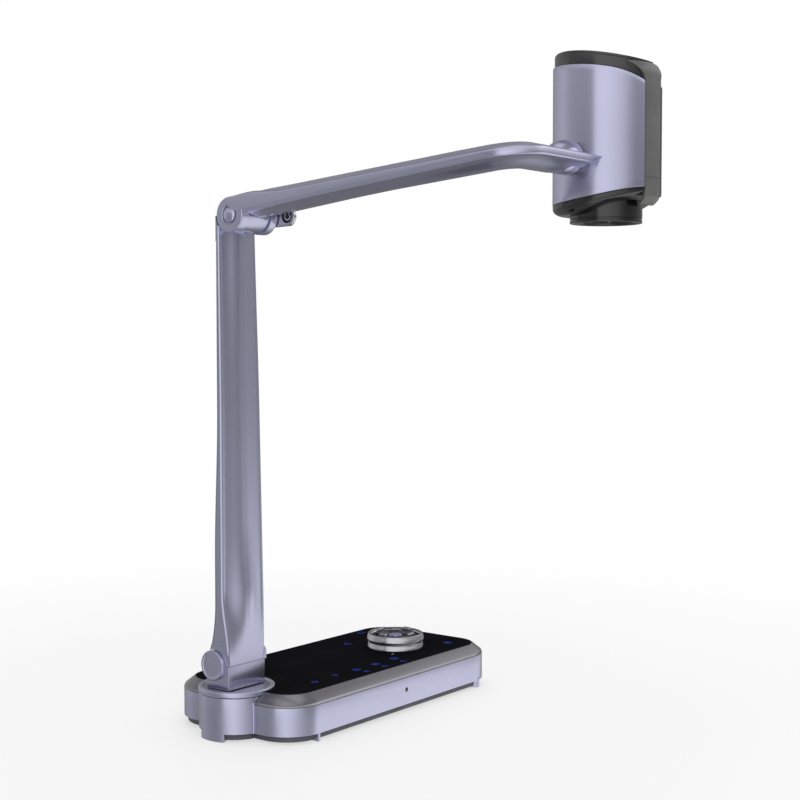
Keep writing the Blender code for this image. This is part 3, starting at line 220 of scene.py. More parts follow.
class Solid:
    """A mesh in the making, in millimetres."""

    def __init__(self, bm: bmesh.types.BMesh) -> None:
        """Takes over a mesh and turns its faces outwards."""
        bmesh.ops.recalc_face_normals(bm, faces=bm.faces[:])
        self.bm = bm

    @classmethod
    def loft(cls, rings: Sequence[Sequence[Point3]], loop: bool = False) -> "Solid":
        """Skins rings that have one count of points.

        Args:
            rings: the sections in order.
            loop: whether the last ring joins the first, in place of caps.

        Returns:
            The solid.
        """
        bm = bmesh.new()
        rows = [[bm.verts.new(point) for point in ring] for ring in rings]
        pairs = list(zip(rows, rows[1:]))
        if loop:
            pairs.append((rows[-1], rows[0]))
        for low, high in pairs:
            for i in range(len(low)):
                j = (i + 1) % len(low)
                bm.faces.new((low[i], low[j], high[j], high[i]))
        if not loop:
            bm.faces.new(rows[0])
            bm.faces.new(rows[-1])
        return cls(bm)

    @classmethod
    def turned(
        cls,
        profile: Sequence[Point2],
        centre: Point3 = (0, 0, 0),
        axis: Axis = Axis.Z,
        steps: int = 96,
        ring: bool = False,
    ) -> "Solid":
        """Turns (radius, height) points about an axis.

        Args:
            profile: the points, in the axis's own heights.
            centre: where the axis passes.
            axis: which way it points.
            steps: how many facets go round.
            ring: whether the profile closes on itself.

        Returns:
            The solid.
        """
        bm = bmesh.new()
        verts = [bm.verts.new((radius, 0, height)) for radius, height in profile]
        ends = list(zip(verts, verts[1:]))
        if ring:
            ends.append((verts[-1], verts[0]))
        edges = [bm.edges.new(pair) for pair in ends]
        bmesh.ops.spin(
            bm,
            geom=verts + edges,
            axis=(0, 0, 1),
            cent=(0, 0, 0),
            angle=math.tau,
            steps=steps,
            use_merge=True,
        )
        bmesh.ops.remove_doubles(bm, verts=bm.verts[:], dist=1e-4)
        if axis is Axis.X:
            bm.transform(Matrix.Rotation(math.pi / 2, 4, "Y"))
        elif axis is Axis.Y:
            bm.transform(Matrix.Rotation(-math.pi / 2, 4, "X"))
        bm.transform(Matrix.Translation(centre))
        return cls(bm)

    @classmethod
    def rod(
        cls,
        radius: float,
        low: float,
        high: float,
        centre: Point3 = (0, 0, 0),
        axis: Axis = Axis.Z,
        steps: int = 96,
        edge: float = 0.0,
    ) -> "Solid":
        """Makes a round bar between two heights on its axis, its ends rounded by edge."""
        if not edge:
            wall = [(radius, low), (radius, high)]
        else:
            wall = [(radius - inset, z) for inset, z in edged(low, high, edge)]
        return cls.turned([(0, low), *wall, (0, high)], centre, axis, steps)

    @classmethod
    def tube(
        cls,
        inner: float,
        outer: float,
        low: float,
        high: float,
        centre: Point3 = (0, 0, 0),
        axis: Axis = Axis.Z,
        steps: int = 96,
        edge: float = 0.2,
    ) -> "Solid":
        """Makes a round ring with a rounded outer wall."""
        wall = [(outer - inset, z) for inset, z in edged(low, high, edge)]
        return cls.turned([(inner, low), *wall, (inner, high)], centre, axis, steps, ring=True)

    @classmethod
    def prism(
        cls, outline: Sequence[Point2], low: float, high: float, axis: Axis = Axis.Z, edge: float = 0.0
    ) -> "Solid":
        """Carries an outline along an axis, its ends drawn in by a rounding about its own middle.

        Args:
            outline: the points, (y, z) for a prism along X.
            low, high: the ends along the axis.
            axis: which way it runs, X or Z.
            edge: the rounding's radius.

        Returns:
            The solid.
        """
        middle = sum((Vector(p) for p in outline), Vector((0, 0))) / len(outline)
        reach = max((Vector(p) - middle).length for p in outline)
        levels = edged(low, high, edge, 3) if edge else [(0.0, low), (0.0, high)]
        rings = []
        for inset, level in levels:
            flat = [middle + (Vector(p) - middle) * (1 - inset / reach) for p in outline]
            if axis is Axis.X:
                rings.append([(level, p.x, p.y) for p in flat])
            else:
                rings.append([(p.x, p.y, level) for p in flat])
        return cls.loft(rings)

    @classmethod
    def block(cls, low: Point3, high: Point3, edge: float = 0.0) -> "Solid":
        """Makes a box between two corners, with bevelled edges."""
        bm = bmesh.new()
        bmesh.ops.create_cube(bm, size=1)
        size = Vector(high) - Vector(low)
        bm.transform(Matrix.Translation((Vector(low) + Vector(high)) / 2) @ Matrix.Diagonal((*size, 1)))
        solid = cls(bm)
        return solid.bevelled(edge) if edge else solid

    def bevelled(self, width: float, angle: float = 35.0, segments: int = 3) -> "Solid":
        """Rounds each edge that is sharper than an angle in degrees."""
        limit = math.radians(angle)
        sharp = [e for e in self.bm.edges if len(e.link_faces) == 2 and e.calc_face_angle(0.0) > limit]
        bmesh.ops.bevel(
            self.bm,
            geom=sharp,
            offset=width,
            offset_type="OFFSET",
            segments=segments,
            profile=0.5,
            affect="EDGES",
            clamp_overlap=True,
        )
        return self

    def moved(self, matrix: Matrix) -> "Solid":
        """Moves the solid by a matrix."""
        self.bm.transform(matrix)
        return self

    def with_shells(self, *others: "Solid") -> "Solid":
        """Takes other solids in as shells of their own."""
        for other in others:
            mesh = bpy.data.meshes.new("shell")
            other.bm.to_mesh(mesh)
            self.bm.from_mesh(mesh)
            bpy.data.meshes.remove(mesh)
            other.bm.free()
        return self

    def cut(self, *tools: "Solid") -> "Solid":
        """Cuts other solids out of this one."""
        for tool in tools:
            target, cutter = self._loose("target"), tool._loose("tool")
            change = target.modifiers.new("change", "BOOLEAN")
            change.operation = "DIFFERENCE"
            change.solver = "EXACT"
            change.object = cutter
            graph = bpy.context.evaluated_depsgraph_get()
            result = bpy.data.meshes.new_from_object(target.evaluated_get(graph))
            self.bm = bmesh.new()
            self.bm.from_mesh(result)
            for obj in (target, cutter):
                mesh = obj.data
                bpy.data.objects.remove(obj)
                bpy.data.meshes.remove(mesh)
            bpy.data.meshes.remove(result)
        return self

    def _loose(self, name: str) -> bpy.types.Object:
        """Makes a working object of the mesh and frees it."""
        mesh = bpy.data.meshes.new(name)
        self.bm.to_mesh(mesh)
        self.bm.free()
        obj = bpy.data.objects.new(name, mesh)
        bpy.context.scene.collection.objects.link(obj)
        return obj


# ---------------------------------------------------------------- finishes


class Tree:
    """Short calls for the nodes of a material or a world."""

    def __init__(self, owner: bpy.types.Material | bpy.types.World) -> None:
        """Turns the owner's nodes on."""
        owner.use_nodes = True
        self.owner = owner
        self.nodes = owner.node_tree.nodes

    def add(self, kind: str, **values: float) -> bpy.types.Node:
        """Adds a node and sets its inputs by name."""
        node = self.nodes.new(kind)
        for name, value in values.items():
            node.inputs[name].default_value = value
        return node

    def join(self, source: Socket, target: Socket) -> None:
        """Links two sockets."""
        self.owner.node_tree.links.new(source, target)

    def put(self, value: Socket | float | Vector, target: Socket) -> None:
        """Links a socket, or sets a plain value."""
        if isinstance(value, bpy.types.NodeSocket):
            self.join(value, target)
        else:
            target.default_value = value

    def math(self, operation: str, *values: Socket | float) -> Socket:
        """Adds a Math node."""
        node = self.nodes.new("ShaderNodeMath")
        node.operation = operation
        for value, target in zip(values, node.inputs):
            self.put(value, target)
        return node.outputs[0]

    def dot(self, source: Socket, direction: Vector) -> Socket:
        """Adds a dot product with a fixed direction."""
        node = self.nodes.new("ShaderNodeVectorMath")
        node.operation = "DOT_PRODUCT"
        self.join(source, node.inputs[0])
        node.inputs[1].default_value = direction
        return node.outputs["Value"]

    def length(self, source: Socket) -> Socket:
        """Adds a vector's length."""
        node = self.nodes.new("ShaderNodeVectorMath")
        node.operation = "LENGTH"
        self.join(source, node.inputs[0])
        return node.outputs["Value"]

    def ramp(self, source: Socket, stops: Sequence[Point2]) -> Socket:
        """Adds a grey ramp of (position, level) stops, halved inside since a ramp holds none over 1."""
        node = self.nodes.new("ShaderNodeValToRGB")
        elements = node.color_ramp.elements
        while len(elements) < len(stops):
            elements.new(0.5)
        for element, (position, _) in zip(elements, stops):
            element.position = position
        for element, (_, level) in zip(elements, stops):
            element.color = (level / 2, level / 2, level / 2, 1)
        self.join(source, node.inputs["Fac"])
        return self.math("MULTIPLY", node.outputs["Color"], 2.0)

    def fed(self, kind: str, sources: dict[int, Socket]) -> Socket:
        """Adds a node with its numbered inputs linked and gives its first output."""
        node = self.nodes.new(kind)
        for number, source in sources.items():
            self.join(source, node.inputs[number])
        return node.outputs[0]

    def between(self, share: Socket, first: Socket, second: Socket) -> Socket:
        """Mixes two values."""
        return self.fed("ShaderNodeMix", {0: share, 2: first, 3: second})

    def background(self, level: Socket | float) -> Socket:
        """Adds a white background of a level."""
        node = self.nodes.new("ShaderNodeBackground")
        node.inputs["Color"].default_value = (1, 1, 1, 1)
        self.put(level, node.inputs["Strength"])
        return node.outputs[0]

    def mixed(self, share: Socket, first: Socket, second: Socket) -> Socket:
        """Mixes two shaders."""
        return self.fed("ShaderNodeMixShader", {0: share, 1: first, 2: second})


class Dressing(Tree):
    """A new material with its Principled shader, and calls for its grain and wear."""

    def __init__(self, name: str) -> None:
        """Makes the material and its object coordinates."""
        super().__init__(bpy.data.materials.new(name))
        self.shader = self.nodes["Principled BSDF"]
        self.place = self.nodes.new("ShaderNodeTexCoord").outputs["Object"]

    def fixed(self, **values: float) -> None:
        """Sets the shader's own sockets, named with _ for each space."""
        for name, value in values.items():
            self.shader.inputs[name.replace("_", " ")].default_value = value

    def feed(self, socket: str, source: Socket) -> None:
        """Links a socket of the shader."""
        self.join(source, self.shader.inputs[socket])

    def noise(self, scale: float, detail: float = 3.0, stretch: Point3 = (1, 1, 1)) -> Socket:
        """Adds a noise on the object's coordinates.

        Args:
            scale: its cells to the metre.
            detail: its octaves.
            stretch: how much finer it is along each axis.

        Returns:
            Its value socket.
        """
        mapping = self.add("ShaderNodeMapping", Scale=stretch)
        self.join(self.place, mapping.inputs["Vector"])
        node = self.add("ShaderNodeTexNoise", Scale=scale, Detail=detail)
        self.join(mapping.outputs["Vector"], node.inputs["Vector"])
        return node.outputs["Fac"]

    def spread(self, source: Socket, low: float, high: float, start: float = 0.3, end: float = 0.7) -> Socket:
        """Maps the middle of a value's range on to low and high."""
        ends = {"From Min": start, "From Max": end, "To Min": low, "To Max": high}
        node = self.add("ShaderNodeMapRange", **ends)
        self.join(source, node.inputs["Value"])
        return node.outputs["Result"]

    def blend(
        self, source: Socket, first: Colour, second: Colour, start: float = 0.3, end: float = 0.7
    ) -> Socket:
        """Runs a value through a two-colour ramp."""
        node = self.nodes.new("ShaderNodeValToRGB")
        low, high = node.color_ramp.elements
        low.position, high.position = start, end
        low.color, high.color = (*first, 1), (*second, 1)
        self.join(source, node.inputs["Fac"])
        return node.outputs["Color"]

    def bump(self, source: Socket, strength: float, distance: float) -> None:
        """Feeds a height to the shader's normal, its distance in millimetres."""
        node = self.add("ShaderNodeBump", Strength=strength, Distance=distance * MM)
        self.join(source, node.inputs["Height"])
        self.feed("Normal", node.outputs["Normal"])


class Finish:
    """What a piece is dressed in."""

    def material(self, name: str) -> bpy.types.Material:
        """Builds the finish as a new material."""
        coat = Dressing(name)
        self.lay(coat)
        return coat.owner


def tinted(colour: Colour, factor: float) -> Colour:
    """Gives the colour made lighter or darker by a factor."""
    return tuple(min(1.0, channel * factor) for channel in colour)


@dataclass(frozen=True)
class SatinMetal(Finish):
    """A satin metallic coat with fine flakes and a slow drift of tone."""

    colour: Colour
    roughness: float = 0.245
    metallic: float = 0.92
    drift: float = 0.03
    flake: float = 0.015

    def lay(self, coat: Dressing) -> None:
        """Lays the finish on a material."""
        low = tinted(self.colour, 1 - self.drift)
        high = tinted(self.colour, 1 + self.drift)
        coat.feed("Base Color", coat.blend(coat.noise(16, 4), low, high))
        fine = coat.noise(2600, 1)
        coat.feed("Roughness", coat.spread(fine, self.roughness - self.flake, self.roughness + self.flake))
        coat.bump(fine, 0.02, 0.008)
        coat.fixed(Metallic=self.metallic, Coat_Weight=0.12, Coat_Roughness=0.12)


@dataclass(frozen=True)
class Moulding(Finish):
    """Moulded plastic with a fine grain and worn, smoother patches."""

    colour: Colour
    roughness: float = 0.5
    grain: float = 1500.0
    depth: float = 0.12
    specular: float = 0.5

    def lay(self, coat: Dressing) -> None:
        """Lays the finish on a material."""
        low = tinted(self.colour, 0.86)
        high = tinted(self.colour, 1.12)
        coat.feed("Base Color", coat.blend(coat.noise(60, 5), low, high))
        coat.feed("Roughness", coat.spread(coat.noise(90, 3), self.roughness - 0.06, self.roughness + 0.06))
        coat.bump(coat.noise(self.grain, 2), self.depth, 0.05)
        coat.fixed(Specular_IOR_Level=self.specular)


@dataclass(frozen=True)
class BlackGlass(Finish):
    """A touch panel's black glass, matt at a glance and glossy from above."""

    colour: Colour = (0.0055, 0.0055, 0.0065)

    def lay(self, coat: Dressing) -> None:
        """Lays the finish on a material."""
        high = tinted(self.colour, 1.5)
        coat.feed("Base Color", coat.blend(coat.noise(25, 3), self.colour, high))
        coat.feed("Roughness", coat.spread(coat.noise(140, 4), 0.22, 0.34))
        facing = coat.nodes.new("ShaderNodeLayerWeight")
        facing.inputs["Blend"].default_value = 0.5
        coat.feed("Coat Weight", coat.spread(facing.outputs["Facing"], 1.0, 0.0, 0.25, 0.6))
        coat.fixed(Specular_IOR_Level=0.0, Coat_Roughness=0.05)


@dataclass(frozen=True)
class GlossPlastic(Finish):
    """Polished black plastic with faint handling marks."""

    colour: Colour = (0.012, 0.012, 0.013)
    roughness: float = 0.16
    specular: float = 0.5

    def lay(self, coat: Dressing) -> None:
        """Lays the finish on a material."""
        low, high = tinted(self.colour, 0.8), tinted(self.colour, 1.3)
        coat.feed("Base Color", coat.blend(coat.noise(40, 4), low, high))
        marks = coat.noise(220, 6)
        coat.feed("Roughness", coat.spread(marks, self.roughness - 0.04, self.roughness + 0.06))
        coat.bump(coat.noise(300, 2), 0.02, 0.02)
        coat.fixed(Specular_IOR_Level=self.specular)


@dataclass(frozen=True)
class BrightMetal(Finish):
    """Turned or plated bare metal with fine scratches."""

    colour: Colour = (0.6, 0.6, 0.62)
    roughness: float = 0.2

    def lay(self, coat: Dressing) -> None:
        """Lays the finish on a material."""
        scratch = coat.noise(400, 3, (1, 1, 9))
        coat.feed("Base Color", coat.blend(scratch, tinted(self.colour, 0.9), tinted(self.colour, 1.08)))
        coat.feed("Roughness", coat.spread(scratch, self.roughness - 0.05, self.roughness + 0.08))
        coat.bump(scratch, 0.06, 0.02)
        coat.fixed(Metallic=1.0)


@dataclass(frozen=True)
class LitPrint(Finish):
    """A touch symbol's print, lit from behind."""

    colour: Colour = (0.03, 0.07, 0.5)
    strength: float = 1.0

    def lay(self, coat: Dressing) -> None:
        """Lays the finish on a material."""
        lit = coat.blend(coat.noise(700, 2), tinted(self.colour, 0.75), tinted(self.colour, 1.25))
        coat.feed("Base Color", lit)
        coat.feed("Emission Color", lit)
        coat.fixed(Roughness=0.4, Specular_IOR_Level=0.0, Emission_Strength=self.strength)


@dataclass(frozen=True)
class CoatedLens(Finish):
    """Dark lens glass whose base colour turns from violet face-on to green at a slant, a painted reflection
    of its coating.
    """

    centre: Colour = (0.012, 0.006, 0.035)
    rim: Colour = (0.006, 0.03, 0.022)

    def lay(self, coat: Dressing) -> None:
        """Lays the finish on a material."""
        facing = coat.nodes.new("ShaderNodeLayerWeight")
        # Base colour from the viewing angle: painted reflection of the coating.
        coat.feed("Base Color", coat.blend(facing.outputs["Facing"], self.centre, self.rim, 0.1, 0.8))
        coat.feed("Roughness", coat.spread(coat.noise(90, 2), 0.02, 0.05))
        coat.fixed(Coat_Weight=1.0, Coat_Roughness=0.02)


@dataclass(frozen=True)
class PrintedBoard(Finish):
    """Green solder mask with darker tracks."""

    def lay(self, coat: Dressing) -> None:
        """Lays the finish on a material."""
        tracks = coat.noise(300, 1, (1, 0.1, 1))
        coat.feed("Base Color", coat.blend(tracks, (0.01, 0.12, 0.05), (0.03, 0.25, 0.1), 0.48, 0.52))
        coat.feed("Roughness", coat.spread(tracks, 0.3, 0.45))


LAVENDER: Colour = (0.49, 0.498, 0.655)
SATIN = SatinMetal(LAVENDER)
SHELL = SatinMetal(LAVENDER, roughness=0.24)
# The bezel's slope is the lavender shell darkened to grey: painted shade on the sloping top.
SLOPE_PAINTED_SHADE = SatinMetal((0.27, 0.266, 0.29), roughness=0.24)
# Dark smoked metal: the flange's own colour, and painted shade where the hub and the side pad wear it.
SMOKE_AND_PAINTED_SHADE = SatinMetal((0.2, 0.195, 0.24), roughness=0.3)
DIAL = SatinMetal((0.52, 0.52, 0.55), roughness=0.22, metallic=1.0, flake=0.03)
PLINTH = Moulding((0.095, 0.095, 0.115), depth=0.2)
MATT_BLACK = Moulding((0.018, 0.018, 0.019), roughness=0.38, grain=2200, depth=0.08)
BLACK_GLASS = BlackGlass()
GLOSS_BLACK = GlossPlastic(specular=0.9)
BARREL_BLACK = GlossPlastic((0.006, 0.006, 0.0065), roughness=0.14, specular=0.8)
STRIP_GREY = Moulding((0.118, 0.118, 0.116), roughness=0.36, grain=3000, depth=0.06)
RUBBER = Moulding((0.02, 0.02, 0.021), roughness=0.85, grain=900, depth=0.3, specular=0.2)
CAST_IRON = Moulding((0.12, 0.12, 0.12), roughness=0.7, grain=500, depth=0.6)
STEEL = BrightMetal()
CHROME = BrightMetal((0.78, 0.78, 0.8), roughness=0.1)
GOLD = BrightMetal((0.75, 0.5, 0.18), roughness=0.25)
LAMP = Moulding((0.2, 0.2, 0.185), roughness=0.2, grain=600, depth=0.1)
# The turntable's recessed disc is the lavender metal darkened: painted shade inside the rim.
DISC_PAINTED_SHADE = SatinMetal((0.27, 0.27, 0.31), roughness=0.22)
KEY_SATIN = SatinMetal((0.07, 0.07, 0.085), roughness=0.2, metallic=0.8)
KEY_TAB = SatinMetal((0.36, 0.36, 0.4), roughness=0.2, metallic=1.0)
KEY_BLUE = SatinMetal((0.3, 0.33, 0.5), roughness=0.18, metallic=0.7)
SLOT_FINISHES: dict[str, Finish] = {
    Slot.IRON.value: CAST_IRON,
    Slot.BOARD.value: PrintedBoard(),
    Slot.STEEL.value: STEEL,
    Slot.MATT.value: MATT_BLACK,
}


class Workshop:
    """Turns solids into dressed pieces that ride on the CAD's bodies."""

    def __init__(self, frame: dict) -> None:
        """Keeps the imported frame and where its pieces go."""
        self.frame = frame
        self.materials: dict[Finish, bpy.types.Material] = {}
        self.hidden: set[str] = set()
        self.collection = bpy.data.collections.new("looks")
        bpy.context.scene.collection.children.link(self.collection)

    def dressed(self, finish: Finish, name: str) -> bpy.types.Material:
        """Gives the material of a finish, built the first time it is asked for."""
        if finish not in self.materials:
            self.materials[finish] = finish.material(name)
        return self.materials[finish]

    def piece(
        self,
        name: str,
        solid: Solid,
        finish: Finish,
        body: Body,
        slot: Slot,
        replaces: Iterable[str] = (),
        crease: float = 32.0,
    ) -> bpy.types.Object:
        """Makes one visible piece.

        Args:
            name: its name.
            solid: its shape, in millimetres in the row's frame.
            finish: what it is dressed in.
            body: the CAD body that it rides on.
            slot: the record's material slot that it stands for; not used.
            replaces: the CAD nodes that it hides.
            crease: the angle in degrees over which an edge stays sharp in shading.

        Returns:
            The object.
        """
        bm = solid.bm
        bmesh.ops.recalc_face_normals(bm, faces=bm.faces[:])
        bm.transform(Matrix.Scale(MM, 4))
        limit = math.radians(crease)
        for face in bm.faces:
            face.smooth = True
        for edge in bm.edges:
            edge.smooth = len(edge.link_faces) == 2 and edge.calc_face_angle(0.0) < limit
        mesh = bpy.data.meshes.new(name)
        bm.to_mesh(mesh)
        bm.free()
        mesh.materials.append(self.dressed(finish, name))
        obj = bpy.data.objects.new(name, mesh)
        self.collection.objects.link(obj)
        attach(obj, body.value)
        if replaces:
            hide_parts(*replaces)
            self.hidden.update(replaces)
        LOG.info("%s: %d faces on %s", name, len(mesh.polygons), body.value)
        return obj

    def dress_shown_nodes(self) -> None:
        """Gives each CAD node that stays in view its own finish."""
        slots = {row["node"]: row["material_slot"] for row in self.frame["record"]["subparts"]}
        for name, obj in self.frame["nodes"].items():
            if name not in self.hidden:
                finish = SLOT_FINISHES[slots[name]]
                for number in range(len(obj.material_slots)):
                    obj.material_slots[number].material = self.dressed(finish, name)
                LOG.info("%s keeps its CAD shape", name)


def middle_of(node: str) -> Vector:
    """Gives the middle of a CAD node's box in millimetres."""
    low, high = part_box(node)
    return (low + high) / (2 * MM)


def in_mm(box: tuple[Vector, Vector]) -> tuple[Vector, Vector]:
    """Gives the low and high corners of a CAD node's box in millimetres."""
    low, high = box
    return low / MM, high / MM


def top_of(node: str) -> float:
    """Gives the height of a CAD node's top in millimetres."""
    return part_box(node)[1].z / MM


def foot_of(node: str) -> float:
    """Gives the height of a CAD node's underside in millimetres."""
    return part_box(node)[0].z / MM


# ---------------------------------------------------------------- base


@dataclass
class BaseAssembly:
    """The weighted base: plinth, housing, sloping bezel, touch panel, sockets and feet."""

    shop: Workshop
    corner: float = 32.0
    turret: float = 29.2
    wall: float = 2.5
    plinth_inset: float = 3.0
    deck_inset: float = 8.2
    panel_inset: float = 9.3
    fin_wide: float = 2.2
    fin_back: float = 9.0
    fin_deep: float = 8.0
    leg_half_angle: float = 25.0
    leg_deep: float = 7.0
    leg_low: float = 0.4
    skin: float = 0.15
    fin_left: float = 30.0
    fin_right: float = 25.5
    window_r: float = 1.6
    window_hole_r: float = 1.9
    cap_room: float = 30.12
    glass_room: float = 30.7
    bead_r: float = 1.15
    foot_r: float = 7.5
    screws: tuple[Point2, ...] = ((60.0, 0.0), (150.0, 40.0), (150.0, -40.0), (205.0, 0.0))
    plate_x: Point2 = (95, 135)
    plate_half: float = 22
    plate_corner: float = 4
    port_wall: float = 1.0
    port_screws: Point2 = (63.2, 204.0)

    def __post_init__(self) -> None:
        """Reads the places from the CAD nodes' boxes."""
        low, high = in_mm(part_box("base_bezel"))
        deck_low, deck_high = in_mm(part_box("touch_panel"))
        self.right = high.x
        self.half = high.y
        self.left = deck_low.x - self.panel_inset
        self.deck_top = deck_high.z
        self.bezel_low = low.z
        self.housing_top = top_of("base_housing")
        self.housing_low = top_of("base_plinth") + GAP

    def build(self) -> None:
        """Builds the base's pieces."""
        self.build_shells()
        self.build_deck()
        SymbolSheet(self.shop, self.deck_top).build()
        self.build_feet()
        self.build_ports()

    def deck(self, inset: float) -> list[Point2]:
        """Gives the deck's outline drawn in by an inset."""
        radius = self.corner - inset
        left, right = self.left + self.corner, self.right - self.corner
        side = self.half - self.corner
        points: list[Point2] = []
        for turn, (x, y) in enumerate(((left, -side), (right, -side), (right, side), (left, side))):
            points += arc(x, y, radius, (turn + 2) * math.pi / 2, (turn + 3) * math.pi / 2, 26)
        return points

    def outline(self, inset: float) -> list[Point2]:
        """Gives the deck's outline with the turret's round nose between its left corners."""
        radius = self.turret - inset
        neck = math.acos((self.left + inset) / radius)
        return arc(0, 0, radius, neck, math.tau - neck, 64) + self.deck(inset)

    @staticmethod
    def stacked(
        outline: Callable[[float], list[Point2]], levels: Sequence[Point2], loop: bool = False
    ) -> Solid:
        """Lofts through (inset, height) levels of an outline function."""
        return Solid.loft([[(x, y, z) for x, y in outline(inset)] for inset, z in levels], loop)

    def nose_leg(self) -> Solid:
        """Makes the leg under the turret's nose, a sector of its wall."""
        half = math.radians(self.leg_half_angle)
        points = arc(0, 0, self.turret - self.skin, math.pi - half, math.pi + half, 24)
        points += arc(0, 0, self.turret - self.leg_deep, math.pi + half, math.pi - half, 24)
        return Solid.prism(points, self.leg_low, self.housing_low + 3, edge=0.4)

    def fins(self) -> list[Solid]:
        """Makes the four small triangular feet that the side walls run down to."""
        made = []
        _, high = in_mm(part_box("foot_5"))
        LOG.debug("feet reach x %.1f", high.x)
        ends = ((self.left + self.fin_left, 1), (self.right - self.fin_right, -1))
        for side, _ in SIDES:
            face = side * (self.half - self.skin)
            root = side * (self.half - self.fin_deep)
            for x, inward in ends:
                near, far = x + inward * self.fin_wide, x + inward * self.fin_back
                points = [(x, face), (near, face), (far, root), (x, root)]
                made.append(Solid.prism(points, self.leg_low, self.housing_low + 3).bevelled(0.35))
        return made

    def build_shells(self) -> None:
        """Builds the plinth, the housing and the window in its front."""
        low = foot_of("base_plinth")
        levels = [(self.plinth_inset + i, z) for i, z in edged(low, top_of("base_plinth"), 0.8)]
        plinth = self.stacked(self.outline, levels)
        self.shop.piece("plinth", plinth, PLINTH, Body.BASE, Slot.DARK_PLASTIC, ["base_plinth"])

        low, top, wall = self.housing_low, self.housing_top, self.wall
        levels = [*edged(low, top, 0.2), (wall, top), (wall, low)]
        housing = self.stacked(self.outline, levels, loop=True)
        eye = middle_of("ir_window")
        ends = (-self.half - 1, -self.half + wall + 1)
        hole = Solid.rod(self.window_hole_r, *ends, (eye.x, 0, eye.z), Axis.Y, 40)
        panel_low, panel_high = in_mm(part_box("port_panel"))
        room = Solid.block(
            (panel_low.x + 3 - GAP, self.half - wall - 2, panel_low.z - GAP),
            (panel_high.x - 3 + GAP, self.half + 2, panel_high.z + GAP),
        )
        housing.cut(hole, room)
        housing.with_shells(*self.fins(), self.nose_leg())
        self.shop.piece("housing", housing, SHELL, Body.BASE, Slot.SHELL, ["base_housing"])

        face = -self.half
        radius = self.window_r
        dome = [(radius * math.cos(a), face + 0.6 - 0.4 * math.sin(a)) for a in (0, 0.3, 0.6, 0.9, 1.2)]
        profile = [(0, face + 0.2), *reversed(dome), (radius, face + wall + GAP), (0, face + wall + GAP)]
        window = Solid.turned(profile, (eye.x, 0, eye.z), Axis.Y, 48)
        self.shop.piece("receiver_window", window, GLOSS_BLACK, Body.BASE, Slot.GLOSS, ["ir_window"])

    def build_deck(self) -> None:
        """Builds the sloping bezel, the turret's collar and the touch panel."""
        low, top = self.bezel_low - 0.18, self.deck_top
        slope = self.deck_inset
        shoulder = [(0, low + 0.45), (0.06, low + 0.65), (0.62, low + 1.9), (0.85, low + 2.2)]
        crest = [(slope + 0.9 * math.sin(a), top - 0.35 + 0.35 * math.sin(a)) for a in (0, 0.4, 0.8, 1.2)]
        levels = [
            (0.15, low),
            (0, low + 0.15),
            *shoulder,
            *crest,
            (self.panel_inset - 0.15, top),
            (self.panel_inset - 0.15, top - 2.5),
            (self.wall + 3, low + 1),
            (self.wall, low),
        ]
        bezel = self.stacked(self.deck, levels, loop=True)
        cap = top_of("turntable_cap")
        bezel.cut(Solid.rod(self.cap_room, cap - 4.8, top + 5, steps=160))
        # The slope is dressed darker than the housing, which is the same shell: painted shade.
        self.shop.piece("bezel", bezel, SLOPE_PAINTED_SHADE, Body.BASE, Slot.SHELL, ["base_bezel"])

        collar_top = foot_of("turntable_cap") - GAP
        foot = self.housing_low
        wall = [(self.turret + 0.03 - inset, z) for inset, z in edged(foot, collar_top, 0.35)]
        profile = [(12.3, foot), *wall, (12.3, collar_top)]
        collar = Solid.turned(profile, steps=160, ring=True)
        self.shop.piece("turret_collar", collar, SHELL, Body.BASE, Slot.SHELL)
        reach = math.sqrt(self.turret**2 - self.left**2)
        for side, name in ((-1, "front"), (1, "back")):
            place = (self.left - 0.45, side * (reach + 0.3), 0)
            bead = Solid.rod(self.bead_r, foot, self.bezel_low + 1.6, place, steps=32, edge=0.5)
            self.shop.piece(f"crease_{name}", bead, SHELL, Body.BASE, Slot.SHELL)

        panel_low = foot_of("touch_panel")
        levels = [(self.panel_inset + i, z) for i, z in edged(panel_low, top, 0.25, 3)]
        panel = self.stacked(self.deck, levels)
        panel.cut(Solid.rod(self.glass_room, panel_low - 3, top + 3))
        self.shop.piece("touch_glass", panel, BLACK_GLASS, Body.BASE, Slot.GLOSS, ["touch_panel"])

    def build_feet(self) -> None:
        """Builds the rubber feet, the screws beside them and the bare plate under the base."""
        low = foot_of("base_plinth")
        for number in range(1, 6):
            node = f"foot_{number}"
            place = middle_of(node)
            high = top_of(node)
            rings = [(self.foot_r - i, z) for i, z in reversed(edged(0, high, 0.5))]
            tread = [(r, 0.0 if k % 2 else 0.35) for k, r in enumerate((5.6, 5.2, 3.9, 3.5))]
            outer = [(radius, high - z) for radius, z in rings]
            profile = [(0, high), *reversed(outer), *tread, (0, 0)]
            foot = Solid.turned([(r, min(z, high)) for r, z in profile], (place.x, place.y, 0), steps=56)
            self.shop.piece(f"foot_pad_{number}", foot, RUBBER, Body.BASE, Slot.RUBBER, [node])
        first, *others = (Solid.turned(self.screw_profile(low), (x, y, 0), steps=32) for x, y in self.screws)
        self.shop.piece("base_screws", first.with_shells(*others), STEEL, Body.BASE, Slot.STEEL)
        (left, right), half, corner = self.plate_x, self.plate_half, self.plate_corner
        rows = ((left, -half), (right, -half), (right, half), (left, half))
        plate = Solid.prism(filleted([(x, y, corner) for x, y in rows]), low - 0.25, low + 0.4, edge=0.15)
        self.shop.piece("bare_plate", plate, STRIP_GREY, Body.BASE, Slot.DARK_PLASTIC)

    @staticmethod
    def screw_profile(low: float) -> list[Point2]:
        """Gives a cap screw's head with its round socket, hanging under a height."""
        steps = ((0, -0.2), (1.2, -0.2), (1.4, -0.7), (2.2, -0.7), (2.6, -0.3), (2.6, 1), (0, 1))
        return offset(0, low, steps)

